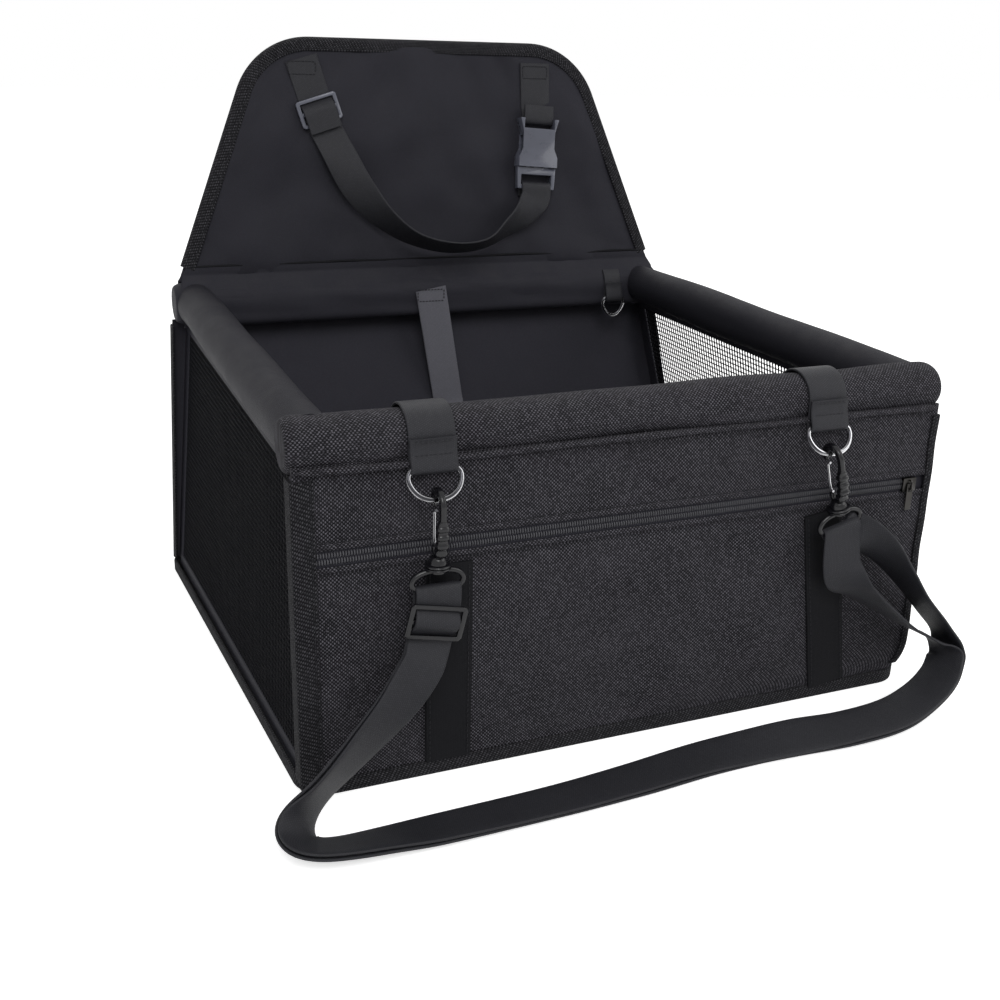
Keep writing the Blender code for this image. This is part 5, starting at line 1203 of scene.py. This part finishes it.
def on_net(corners, s, t):
    """The patch between four corners: s from front to back, t from foot to top."""
    s, t = s[..., None], t[..., None]
    return ((corners[0] * (1 - s) + corners[1] * s) * (1 - t) + (corners[3] * (1 - s) + corners[2] * s) * t)


def net_normal(corners):
    """The direction square to a net at its front lower corner."""
    return unit(np.cross(corners[1] - corners[0], corners[3] - corners[0]))


def net_shell(corners, column_pitch=0.0032, row_pitch=0.0035):
    """A knitted net: upright columns of cells, each a flat ring round a six-sided hole.

    A cell's rim has the points (1, 1), (1, 0), (1, -1), (-1, -1), (-1, 0), (-1, 1) in units of
    half a pitch and its hole (0.56, 0.86), (0.80, 0), (0.56, -0.86) and their mirrors.  Shared
    rim points have the same whole numbers, so each is one vertex.
    """
    long = np.linalg.norm(corners[1] - corners[0])
    tall = np.linalg.norm(corners[3] - corners[0])
    columns, rows = int(long / column_pitch) - 1, int(tall / row_pitch) - 1
    i, j = np.meshgrid(np.arange(columns), np.arange(rows), indexing="ij")
    centre = np.stack([2 * i + 1, 2 * j + 1], axis=-1).reshape(-1, 1, 2)
    rim = np.array([(1, 1), (1, 0), (1, -1), (-1, -1), (-1, 0), (-1, 1)])
    hole = rim * np.array([(0.56, 0.86), (0.80, 0), (0.56, 0.86)] * 2)
    keys, index = np.unique((centre + rim).reshape(-1, 2), axis=0, return_inverse=True)
    index = index.reshape(-1, 6)
    scale = np.array([column_pitch / 2 / long, row_pitch / 2 / tall])
    margin = (1 - np.array([2 * columns, 2 * rows]) * scale) / 2
    hole = (centre + hole).reshape(-1, 2)
    flat = np.concatenate([keys, hole]) * scale + margin
    middle = on_net(corners, flat[:, 0], flat[:, 1])
    off = net_normal(corners) * NET_THREAD / 2
    inner = len(keys) + np.arange(len(hole)).reshape(-1, 6)
    total = len(flat)
    a, b = index, np.roll(index, -1, axis=1)
    c, d = np.roll(inner, -1, axis=1), inner
    front = np.stack([a, b, c, d], axis=-1).reshape(-1, 4)
    wall = np.stack([d, c, c + total, d + total], axis=-1).reshape(-1, 4)
    faces = np.concatenate([front, front[:, ::-1] + total, wall])
    uv = np.concatenate([flat, flat]) * np.array([long, tall])
    return np.concatenate([middle + off, middle - off]), faces, uv[faces]


def build_nets():
    """A net each side, with a cloth border sewn round it."""
    for side, sign in (("left", -1), ("right", 1)):
        corners = net_corners(sign)
        piece(side + "_net", [net_shell(corners)], net_look, "basket", (side + "_mesh_panel",),
              crease=89)
        border = []
        for (s0, t0), (s1, t1), width in BORDERS:
            t = np.linspace(0, 1, 24)
            path = on_net(corners, s0 + (s1 - s0) * t, t0 + (t1 - t0) * t)
            across = np.cross(unit(path[-1] - path[0]), net_normal(corners))
            rows = np.hstack([path, np.broadcast_to(across, path.shape)])
            border.append(band(rows, width, BORDER_THICK))
        piece(side + "_net_border", border, satin, "basket")


build_nets()


# Rim sleeves, ring loops and rings

SLEEVE_TIP = 0.007
TIP_SHARE = 0.74
HALF_RIM = RIM_WIDTH / 2
CORNER_RING_X = 0.156
CORNER_RING_Y = 0.1853
CORNER_BAR_Z = 0.185
LOOP_TURN = 0.0015 + SEAM + WEB / 2
LOOP_STITCH_HEIGHTS = (0.1885, 0.1955)
LOOP_STITCH_Y = RIM_FRONT_Y - SLEEVE_RADIUS - 2 * WEB - 0.0018


def sleeve(name, node, start, end, look, seed, close_ends, pucker=0.0008):
    """A cloth sleeve round a tube: a cylinder with low lengthwise creases.

    radius = R + ripple(angle, length); near a closed end it draws in as a quarter circle.
    """
    start, end = np.array(start), np.array(end)
    long = np.linalg.norm(end - start)
    run = (end - start) / long
    mark = np.linspace(0, long, 130)
    shrink = np.ones_like(mark)
    if close_ends:
        bend = np.linspace(0, np.pi / 2, 9)[:-1]
        middle = np.linspace(SLEEVE_TIP, long - SLEEVE_TIP, 120)
        mark = np.concatenate([SLEEVE_TIP * (1 - np.cos(bend)), middle,
                               long - SLEEVE_TIP * (1 - np.cos(bend[::-1]))])
        near = np.minimum(mark, long - mark)
        round_end = np.sqrt(np.clip(1 - (1 - near / SLEEVE_TIP) ** 2, 0, 1))
        shrink = np.where(near < SLEEVE_TIP, TIP_SHARE + (1 - TIP_SHARE) * round_end, 1.0)
    side = unit(np.cross(run, Z_AXIS))
    turn = np.linspace(0, 2 * np.pi, 56, endpoint=False)
    wrap = SLEEVE_RADIUS * turn
    low_wrap = np.minimum(wrap, wrap.max() - wrap)[None, :]
    folds = ripple(mark[:, None] * 0.35, low_wrap * 1.3, seed, 0.0016, 0.05)
    pull = ripple(mark[:, None], 0 * wrap[None, :], seed + 1, pucker, 0.045)
    radius = (SLEEVE_RADIUS - 0.0001 + np.maximum(folds + pull, -0.0009)) * shrink[:, None]
    points = (start + run * mark[:, None])[:, None] + radius[..., None] * (
        side * np.cos(turn)[None, :, None] + Z_AXIS * np.sin(turn)[None, :, None])
    piece(name, [shell(points, mark, wrap, wrap_v=True, caps=True)], look, "basket", (node,))


def build_sleeves():
    """The four sleeves; the front and back ones close over their ends."""
    for side, y, look, slot, seed in (("front", RIM_FRONT_Y, oxford, "oxford_cloth", 31),
                                      ("back", RIM_BACK_Y, satin, "smooth_lining", 33)):
        sleeve(side + "_sleeve", side + "_rim_sleeve", (-HALF_RIM, y, RIM_Z), (HALF_RIM, y, RIM_Z), look,
               seed, True)
    for side, sign in (("left", -1), ("right", 1)):
        x = sign * RIM_SIDE_X
        # The side sleeves take the darker copy of the smooth cloth: painted shade.
        sleeve(side + "_sleeve", side + "_rim_sleeve", (x, RIM_FRONT_Y, RIM_Z), (x, RIM_BACK_Y, RIM_Z),
               side_satin_painted_shade, 35 + sign, False, 0.0001)


def loop_rows(centre_x, rim_y, bar_z, start):
    """Route of the webbing over a rim sleeve, down its face, round a ring's bar and back up."""
    reach = SLEEVE_RADIUS + SEAM + WEB / 2 + 0.0004
    face_y = rim_y - reach
    over = arc(0, 0, reach, start, 180, 28) + np.array([rim_y, RIM_Z])
    under = arc(0, 0, LOOP_TURN, 0, -180, 14) + np.array([face_y - LOOP_TURN, bar_z])
    tuck_y = face_y - WEB - SEAM
    tuck = [(tuck_y, bar_z + 3.5 * LOOP_TURN), (tuck_y, RIM_Z + 0.003)]
    line = np.concatenate([over, under, tuck])
    path = np.column_stack([np.full(len(line), centre_x), line])
    return even(np.hstack([path, np.broadcast_to(X_AXIS, path.shape)]), 0.001)


def build_ring_loops():
    """Webbing loops that hold the two front rings, with their seams, and the corner ring's tab."""
    for side, x in (("left", LEFT_RING_X), ("right", RIGHT_RING_X)):
        piece(side + "_rim_loop", [band(loop_rows(x, RIM_FRONT_Y, RING_BAR_Z, -38), 0.0256)], web_look,
              "basket", (side + "_ring_loop",))
        lines = [stitches([(x - 0.0105, LOOP_STITCH_Y, z), (x + 0.0105, LOOP_STITCH_Y, z)], -Y_AXIS, 0.0026,
                          0.0018) for z in LOOP_STITCH_HEIGHTS]
        piece(side + "_loop_stitches", lines, web_look, "basket")
    piece("corner_tab", [band(loop_rows(CORNER_RING_X, RIM_BACK_Y, CORNER_BAR_Z, 130), 0.015)], web_look,
          "basket", ("corner_ring_tab",))


def d_loop(span, drop, fullness=1.0, steps=34):
    """A D in the XZ plane: a bar at the origin with a bow below, half an ellipse made squarer."""
    turn = np.radians(np.linspace(10, 170, steps))
    across, down = np.cos(turn), np.sin(turn)
    bow = np.stack([span / 2 * np.sign(across) * np.abs(across) ** fullness, np.zeros(steps),
                    -drop * down ** fullness], axis=1)
    bar = np.stack([np.linspace(-0.47, 0.47, 12) * span, np.zeros(12), np.zeros(12)], axis=1)
    return np.concatenate([bar, bow])


def eased(path, turns=4):
    """A closed path with its corners rounded by repeated averaging with its neighbours."""
    for turn in range(turns):
        path = (np.roll(path, 1, axis=0) + 2 * path + np.roll(path, -1, axis=0)) / 4
    return path


def build_rings():
    """The two tilted front rings and the small upright one in the back corner."""
    for side, x in (("left", LEFT_RING_X), ("right", RIGHT_RING_X)):
        matrix = tilted((x, RING_Y, RING_BAR_Z), -RING_TILT, 0)
        path = carry(matrix, eased(d_loop(RING_SPAN, RING_DROP, 0.85)))
        piece(side + "_ring", [rod(path, matrix[:3, 1], RING_WIRE, 16, closed=True)], chrome, "strap",
              (side + "_d_ring",))
    path = eased(d_loop(0.020, 0.015)) + np.array([CORNER_RING_X, CORNER_RING_Y, CORNER_BAR_Z])
    piece("corner_ring_wire", [rod(path, Y_AXIS, RING_WIRE, 16, closed=True)], chrome, "corner_ring",
          ("corner_d_ring",))


build_sleeves()
build_ring_loops()
build_rings()


# Snap hooks

HOOK_BEND = 0.0069
HOOK_CREST = 0.0325
GATE_FOOT, GATE_TIP, GATE_LINE = 0.0091, 0.0279, 0.0050


def hook_shells(matrix):
    """A snap hook: a boxy bar along the spine and crest, ribbed over the grip, on a turned foot.

    The bar's half width grows from 1.7 to 3.0 mm over the grip and its half depth carries four
    ridges of 0.4 mm, each one period of a rounded square wave.
    """
    spine = [(0, 0.0004, 0.0026), (0, -0.0018, 0.0048), (0, -0.0046, 0.0085), (0, -0.0062, 0.0125),
             (0, -0.0067, 0.0190)]
    crest = np.column_stack([np.zeros(19), arc(0, HOOK_CREST, HOOK_BEND, 180, 0, 18)])
    path = smooth(np.vstack([spine, crest, [(0, HOOK_BEND, 0.0292)]]), 0.00055)
    z = path[:, 2]
    spine_side = path[:, 1] < -0.003
    grip = np.clip((z - 0.0064) / 0.0012, 0, 1) * np.clip((0.0262 - z) / 0.0020, 0, 1) * spine_side
    ridge = np.tanh(3 * np.sin((z - 0.0070) / 0.0046 * 2 * np.pi)) * grip
    foot = np.clip((0.0062 - z) / 0.004, 0, 1)
    tip = np.clip(lengths(path)[-1] - lengths(path), 0, 0.003) / 0.003
    wide = 1.0 + 0.85 * grip + 0.18 * ridge + 0.5 * foot
    deep = 1.0 + 0.20 * ridge + 0.22 * grip + 0.5 * foot
    taper = 0.55 + 0.45 * np.sqrt(tip)
    section = round_section(1.0, 18, 0.62) * np.array([0.0017, 0.0021])
    bar = shell(carry(matrix, swept(path, X_AXIS, section, False, wide * taper, deep * taper)), lengths(path),
                lengths(section), wrap_v=True, caps=True)
    foot = lathe(matrix, [(0.0002, 0.0046), (0.0030, 0.0045), (0.0041, 0.0036), (0.0047, 0.0020),
                          (0.0050, 0.0004), (0.0064, 0.0002), (0.0069, -0.0002), (0.0070, -0.0006),
                          (0.0068, -0.0010), (0.0064, -DISC), (0.0002, -DISC)])
    rise = carry(matrix, [(0, 0.0002, 0.0028), (0, 0.0030, 0.0036), (0, 0.0044, 0.0050), (0, 0.0046, 0.0079)])
    return [bar, foot, rod(rise, matrix[:3, 0], 0.0015, 14, squareness=0.7)]


def build_hook(prefix, matrix, snap, gate, holder):
    """One hook with its wire gate and the swivel eye below it."""
    piece(prefix + "_snap_body", hook_shells(matrix), hook_plastic, snap,
          (prefix + "_hook_body",), crease=60)
    low, high, line = GATE_FOOT, GATE_TIP, GATE_LINE
    path = smooth([(0, line - 0.0016, low), (0, line, low + 0.0002), (0, line + 0.0011, low * 1.35),
                   (0, line + 0.0012, 0.0190), (0, line + 0.0010, high * 0.93), (0, line, high - 0.0002),
                   (0, line - 0.0016, high)], 0.0005)
    piece(prefix + "_snap_gate", [rod(carry(matrix, path), matrix[:3, 0], 0.0008, 12)], chrome, gate,
          (prefix + "_hook_gate",))
    top = -DISC - SEAM
    disc = lathe(matrix, [(0.0002, top), (0.0064, top), (0.0069, top - 0.0003), (0.0070, top - 0.0006),
                          (0.0068, top - 0.0010), (0.0060, top - 0.0011), (0.0040, top - 0.0014),
                          (0.0036, top - 0.0024), (0.0038, top - 0.0034), (0.0002, top - 0.0034)])
    bow = eased(d_loop(EYE_SPAN, EYE_DROP, 0.7), 5) * np.array([1, 1, -1]) + np.array([0, 0, EYE_BAR])
    eye = rod(carry(matrix, bow), matrix[:3, 1], EYE_WIRE, 16, closed=True)
    piece(prefix + "_eye", [disc, eye], hook_plastic, holder, (prefix + "_swivel_eye",),
          crease=60)


build_hook("left", LEFT_HOOK, "left_snap", "left_gate", "strap")
build_hook("right", RIGHT_HOOK, "right_snap", "right_gate", "strap")


# Flap, the fold at its foot and the front hem

FLAP_LOW = -0.0030
FLAP_BOW = 0.110
FLAP_COVER_INSET = 0.0006
FLAP_TAPE_FOOT = 0.0085
FLAP_TAPE_REACH = 0.0085
FLAP_TAPE_BEND = 0.0022
FOLD_OUT = 0.0036
FOLD_HALF = 0.1960
HEM_HALF = 0.1975
HEM_Y = -0.1618
HEM_Z = 0.1848


def flap_line(inset, foot, steps=26):
    """Right half of the flap's outline, from its foot up round the large corner to the middle."""
    slant = math.atan2((FLAP_FOOT_WIDTH - FLAP_TOP_WIDTH) / 2, FLAP_LENGTH)
    top = FLAP_LENGTH - inset
    half_foot, half_top = (FLAP_FOOT_WIDTH / 2 - inset / math.cos(slant) - up * math.tan(slant)
                           for up in (foot, top))
    radius = FLAP_CORNER - inset
    reach = radius * math.tan((math.pi / 2 - slant) / 2)
    corner = arc(half_top - reach, top - radius, radius, math.degrees(slant), 90, steps)
    return np.vstack([[(half_foot, foot)], corner])


def flap_cover():
    """The flap's cover, swelled a little over its board.

    At a distance d from the edge its half thickness is T (0.35 + 0.65 sqrt(1 - (1 - d / 4 mm)^2)).
    """
    line = flap_line(FLAP_COVER_INSET, FLAP_LOW, 40)
    top = 0.0594 * np.sin(np.linspace(0, np.pi / 2, 26))[1:]
    mark = np.concatenate([np.linspace(FLAP_LOW, FLAP_BOW, 46), FLAP_BOW + top])
    half = np.interp(mark, line[:, 1], line[:, 0])
    x = np.linspace(-1, 1, 90)[None, :] * half[:, None]
    up = np.broadcast_to(mark[:, None], x.shape)
    edge = np.clip((half[:, None] - np.abs(x)) / 0.004, 0, 1) * np.clip((mark.max() - up) / 0.004, 0, 1)
    edge = edge * np.clip((up - mark.min()) / 0.004, 0, 1)
    depth = (FLAP_THICK / 2 - 0.0004) * (0.35 + 0.65 * np.sqrt(np.clip(1 - (1 - edge) ** 2, 0, 1)))
    wave = np.maximum(ripple(x, up, 41, 0.0030, 0.08), -0.0003) * edge
    sheet = slab(on_flap(x, depth + wave, up), on_flap(x, -depth - 0.4 * wave, up), mark, x[0])
    cover = piece("flap_panel", [sheet], flap_satin, "flap", ("flap_cover",))
    sewn = sewn_edges(x, 2, 3, 3)
    settle(cover, np.concatenate([sewn, sewn[:, ::-1]], axis=1).ravel(), 1.2, 0.003, 0.0011)
    finer(cover)


def flap_tape():
    """The tape bound round the flap's edge, a U in section, and its seam on each face."""
    outline = flap_line(0, FLAP_TAPE_FOOT)
    full = np.vstack([outline, outline[::-1] * np.array([-1, 1])])
    mark = lengths(full)
    at = np.linspace(0, mark[-1], 420)
    full = np.stack([np.interp(at, mark, full[:, axis]) for axis in range(2)], axis=1)
    reach, room, t, bow = FLAP_TAPE_REACH, FLAP_THICK / 2 + SEAM, TAPE, FLAP_TAPE_BEND
    bend = np.radians(np.linspace(-90, 90, 9))
    outside = [((bow + SEAM + t) * math.cos(a) - bow, (room + t) * math.sin(a)) for a in bend]
    inside = [((bow + SEAM) * math.cos(a) - bow, room * math.sin(a)) for a in bend[::-1]]
    lip = reach + 0.0004
    section = np.array([(-reach, -room - t), *outside, (-reach, room + t), (-lip, room + t / 2),
                        (-reach, room), *inside, (-reach, -room), (-lip, -room - t / 2)])
    run = unit(np.gradient(full, axis=0))
    off = np.stack([run[:, 1], -run[:, 0]], axis=1)
    away, out = section[None, :, 0], np.broadcast_to(section[None, :, 1], (len(full), len(section)))
    points = on_flap(full[:, :1] + off[:, :1] * away, -out, full[:, 1:] + off[:, 1:] * away)
    piece("flap_edge_tape", [shell(points, lengths(full), lengths(section), wrap_v=True, caps=True)], binding,
          "flap", ("flap_binding",))
    inner = full - off * (reach - 0.0016)
    seams = []
    for out in (room + t, -room - t):
        normal = on_flap(0, math.copysign(1, out), 0) - on_flap(0, 0, 0)
        seams.append(stitches(on_flap(inner[:, 0], out, inner[:, 1]), normal))
    piece("flap_tape_stitches", seams, thread_look, "flap")


def build_fold():
    """Cloth from the flap's foot down over the back sleeve, before and behind the fold.

    In front it runs flat from the foot to the sleeve, then straight down to
    a seam below it.  A round seam covers its joint with the flap.
    """
    reach, front_y = SLEEVE_RADIUS + 0.0004, RIM_BACK_Y - SLEEVE_RADIUS - 0.0004
    sleeve_front = [(RIM_BACK_Y - SLEEVE_RADIUS * 0.72, 0.1784), (front_y + 0.0016, 0.1796),
                    (front_y, 0.1822), (front_y, 0.1880), (front_y, RIM_Z)]
    over = np.radians([167, 157, 148])
    sleeve_front += [(RIM_BACK_Y + reach * math.cos(a), RIM_Z + reach * math.sin(a)) for a in over]
    sleeve_back = arc(RIM_BACK_Y, RIM_Z, reach, 20, 58, 7)
    share = np.linspace(-1, 1, 150)[:, None]
    for side, low, flip in (("front", sleeve_front, 1), ("back", sleeve_back, -1)):
        high = on_flap(0, FOLD_OUT * flip, np.array([0.0015, 0.0045, 0.0075]))[:, 1:]
        line = np.vstack([low, high])
        line = smooth(np.column_stack([np.zeros(len(line)), line]), 0.0009)[:, 1:]
        mark = lengths(np.column_stack([np.zeros(len(line)), line]))
        off = unit(np.gradient(line, axis=0))[:, ::-1] * np.array([-1, 1]) * flip
        x = share * (FOLD_HALF - np.clip(line[:, 1] - 0.2090, 0, 1) * 0.46)[None, :]
        fade = np.sin(np.pi * mark / mark[-1])[None, :] * np.clip((1 - np.abs(share)) * 12, 0, 1)
        lift = 0.0003 + (ripple(x * 0.7, mark[None, :] * 2, 51 + flip, 0.0012, 0.05) - 0.0005) * fade
        shape = [np.stack([x, line[:, 0] + off[:, 0] * (lift + t), line[:, 1] + off[:, 1] * (lift + t)],
                          axis=-1) for t in (0.0005, -0.0003)]
        made = piece("fold_cloth_" + side, [slab(*shape, share[:, 0] * FOLD_HALF, mark)], satin, None)
        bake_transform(made)
    x = np.linspace(-0.1880, 0.1880, 160)
    line = on_flap(x, FOLD_OUT, 0.0082 + ripple(x, 0, 53, 0.0008, 0.06))
    piece("flap_foot_seam", [rod(line, Z_AXIS, 0.0010, 10)], band_look, "flap")


def build_hem():
    """The front sleeve's hem: a soft lip above the facing that sags a little between its ends."""
    x = np.linspace(-HEM_HALF, HEM_HALF, 220)
    sag = ripple(x, 0, 57, 0.0018, 0.11) - 0.0016 * np.exp(-((x + 0.150) / 0.045) ** 2)
    path = np.column_stack([x, np.full_like(x, HEM_Y), HEM_Z + sag])
    size = (1 + ripple(x, 0, 58, 0.25, 0.05)) * np.clip((0.1990 - np.abs(x)) / 0.008, 0.2, 1)
    piece("front_hem", [rod(path, Z_AXIS, 0.0020, 14, wide=size)], oxford, "basket")
    seam = stitches(path + np.array([0, -0.0010, -0.0040]), -Y_AXIS, 0.0030, 0.0019, 0.00025)
    piece("front_hem_stitches", [seam], thread_look, "basket")


flap_cover()
flap_tape()
build_fold()
build_hem()


# Straps on the flap

FLAP_MATRIX = tilted((0, RIM_BACK_Y, FLAP_FOOT_Z), -FLAP_LEAN, 0)
FLAP_REST = -FLAP_THICK / 2 - SEAM - WEB / 2
LEFT_STRAP_X, RIGHT_STRAP_X = -0.0960, 0.0920
STRAP_TOP = 0.1560
GLIDE_AT = (-0.0850, FLAP_REST - WEAVE, 0.1190)
BUCKLE_AT = (RIGHT_STRAP_X, -FLAP_THICK / 2 - SEAM - BUCKLE_THICK / 2, 0.1135)
PLUG_THICK = BUCKLE_THICK - 2 * 0.0022 - 2 * 0.0004
PLUG_LOW = -SOCKET_LENGTH - 0.0062 - 0.0110
PLUG_BAR = 0.0034
SOCKET_BAR_THICK = 0.0026
SOCKET_BAR = 0.0050
BOX_CORNERS = [((-1, 0), (1, 0)), ((-1, -0.009), (1, -0.009)), ((-1, 0), (-1, -0.009)), ((1, 0), (1, -0.009))]
# The hanging loop in shares of the flap's top width, the webbing's width and the flap's length
LOOP_ROUTE_SHARES = [
    (-0.285, 0.16, 0.520, 0.93, -0.05, 0.35), (-0.235, 0.34, 0.365, 0.75, -0.45, 0.50),
    (-0.165, 0.50, 0.235, 0.35, -0.85, 0.45), (-0.075, 0.62, 0.140, 0.05, -0.95, 0.32),
    (0.045, 0.65, 0.095, 0.00, -0.95, 0.30), (0.155, 0.60, 0.110, -0.15, -0.93, 0.32),
    (0.240, 0.45, 0.185, -0.55, -0.75, 0.35), (0.300, 0.34, 0.245, -0.88, -0.40, 0.25)]


def flap_strap_rows():
    """The left strap through its slider, the hanging loop, and the right strap to the buckle."""
    glide = tilted(GLIDE_AT, 0, math.radians(-17))
    buckle = tilted(BUCKLE_AT, 0, math.radians(4))
    woven = through_slider(glide, [(1, 1.4), (1, 0.72), (0, 0.44), (-1, 0.16), (-1, -1), (-1, -1.5)])
    left = np.vstack([[(LEFT_STRAP_X, FLAP_REST, STRAP_TOP, 1, 0, 0)], woven])
    start = through_slider(glide, [(1, -0.2), (1, -0.9)])
    hang = [(x * FLAP_TOP_WIDTH, GLIDE_AT[1] - stand * WEB_WIDTH, up * FLAP_LENGTH, *across)
            for x, stand, up, *across in LOOP_ROUTE_SHARES]
    low, high = PLUG_LOW, PLUG_LOW + PLUG_BAR + WEB
    off = -PLUG_THICK / 2 - SEAM - WEB / 2
    end = rows_on(buckle, [(0, off, low - 0.0068), (0, off, low - WEB), (0, off, high - WEB),
                           (0, off * 0.8, high), (0, -off * 0.8, high), (0, -off, high - WEB),
                           (0, -off, low), (0, -off, low - 0.0055)], -X_AXIS)
    loop = np.vstack([start[:1], smooth(np.vstack([start[1:], hang, end[:1]]), 0.004), end[1:]])
    off = SOCKET_BAR_THICK / 2 + SEAM + WEB / 2
    under, bar = -SOCKET_BAR_THICK - WEB, SOCKET_BAR
    turn = rows_on(buckle, [(0, off + WEB, bar), (0, off, SEAM), (0, off, under + WEB), (0, off * 0.7, under),
                            (0, -off * 0.7, under), (0, -off, under + WEB), (0, -off, bar),
                            (0, -off + WEB / 2, bar * 2)])
    top = [(RIGHT_STRAP_X, FLAP_REST, up, 1, 0, 0) for up in (STRAP_TOP, 0.1235)]
    return {"left": even(left), "loop": even(loop), "right": even(np.vstack([top, turn]))}


def build_flap_straps():
    """The flap's straps with their sewn boxes, the slider and the buckle.
    """
    for which, rows in flap_strap_rows().items():
        world = np.hstack([carry(FLAP_MATRIX, rows[:, :3]), rows[:, 3:] @ FLAP_MATRIX[:3, :3].T])
        made = piece("flap_webbing_" + which, [band(world)], web_look, None if which == "loop" else "flap",
                     ("flap_strap_" + which,))
        if which == "loop":
            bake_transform(made)
    for side, x in (("left", LEFT_STRAP_X), ("right", RIGHT_STRAP_X)):
        box = []
        for (a, c), (b, d) in BOX_CORNERS:
            place, up = x + np.array([a, b]) * 0.0105, 0.1535 + np.array([c, d])
            path = on_flap(place, -FLAP_REST + WEB / 2 + 0.0002, up)
            box.append(stitches(path, -FLAP_MATRIX[:3, 1], 0.0026, 0.0018))
        piece("strap_box_" + side, box, thread_look, "flap")
    refined("flap_slider", "flap_slider_bar", buckle_plastic, "flap", 0.0006)
    refined("buckle_socket", "buckle_shell", buckle_plastic, "flap", 0.0007)
    refined("buckle_plug", "buckle_prongs", buckle_plastic, "plug", 0.0005)


build_flap_straps()


# Leash inside the box

LEASH_SLOPE = math.radians(9)
LEASH_X = -0.0052
LEASH_BAR_UP = 0.0820
LEASH_BAR_OUT = 0.0090
LEASH_BOX = [(-0.0108, -0.0005), (0.0108, -0.0005), (0.0108, -0.0095), (-0.0108, -0.0095), (-0.0108, -0.0005)]


def build_leash():
    """The leash from its sewn box on the back sleeve down the inner wall to its hook."""
    back = tilted((0, BASE_DEPTH / 2, WALL_FOOT), -BACK_LEAN, 0)
    start = np.array([LEASH_X, RIM_BACK_Y - SLEEVE_RADIUS - SEAM - WEB / 2 - 0.0006,
                      RIM_Z + SLEEVE_RADIUS * 0.35])
    lining_y = -FACING - SEAM - WALL
    run_y = lining_y - SEAM - WEB / 2 - 0.0008
    down = np.array([math.sin(LEASH_SLOPE), 0, -math.cos(LEASH_SLOPE)])
    side = np.array([math.cos(LEASH_SLOPE), 0, math.sin(LEASH_SLOPE)])
    top_up = (start[2] - WALL_FOOT) / math.cos(BACK_LEAN)

    def down_wall(up, y):
        return np.array([LEASH_X + (top_up - up) * math.tan(LEASH_SLOPE), y, up])

    bar = down_wall(LEASH_BAR_UP, lining_y - SEAM - LEASH_BAR_OUT) + down * (LEASH_BAR_OUT + EYE_BEND)
    turn = arc(0, 0, EYE_BEND, 0, -180, 12)
    around = bar + Y_AXIS * turn[:, :1] - down * turn[:, 1:]
    tail = [bar - Y_AXIS * EYE_BEND * 0.9 - down * (EYE_BEND * 2),
            bar - Y_AXIS * EYE_BEND * 0.5 - down * (EYE_BEND * 3)]
    wall = np.vstack([down_wall(0.1000, run_y), down_wall(LEASH_BAR_UP, run_y), around, tail])
    points = np.vstack([start, carry(back, wall)])
    across = np.vstack([side, np.broadcast_to(back[:3, :3] @ side, wall.shape)])
    # The leash's webbing carries painted light and sheen in its colour.
    piece("leash_webbing", [band(even(np.hstack([points, across])), 0.0252)], leash_painted_light, "tether",
          ("leash_strap",))
    local = tilted(bar - down * EYE_BAR, 0, math.pi - LEASH_SLOPE)
    build_hook("leash", back @ local, "tether_snap", "tether_gate", "tether")
    corners = [start + np.array([x, -WEB / 2 - 0.0004, z]) for x, z in LEASH_BOX]
    box = [stitches([first, last], -Y_AXIS, 0.0026, 0.0018) for first, last in zip(corners, corners[1:])]
    piece("leash_box_stitches", box, thread_look, "tether")


build_leash()

# Hidden stiffeners and tubes keep their CAD shape and get their own finish
KEPT = [(board_look, ("base_board", "flap_board")),
        (tube_look, ("front_frame_tube", "back_frame_tube", "left_frame_tube", "right_frame_tube",
                     "front_left_elbow", "front_right_elbow", "back_left_elbow", "back_right_elbow"))]
for look, kept in KEPT:
    for node in kept:
        for socket in nodes[node].material_slots:
            socket.material = look
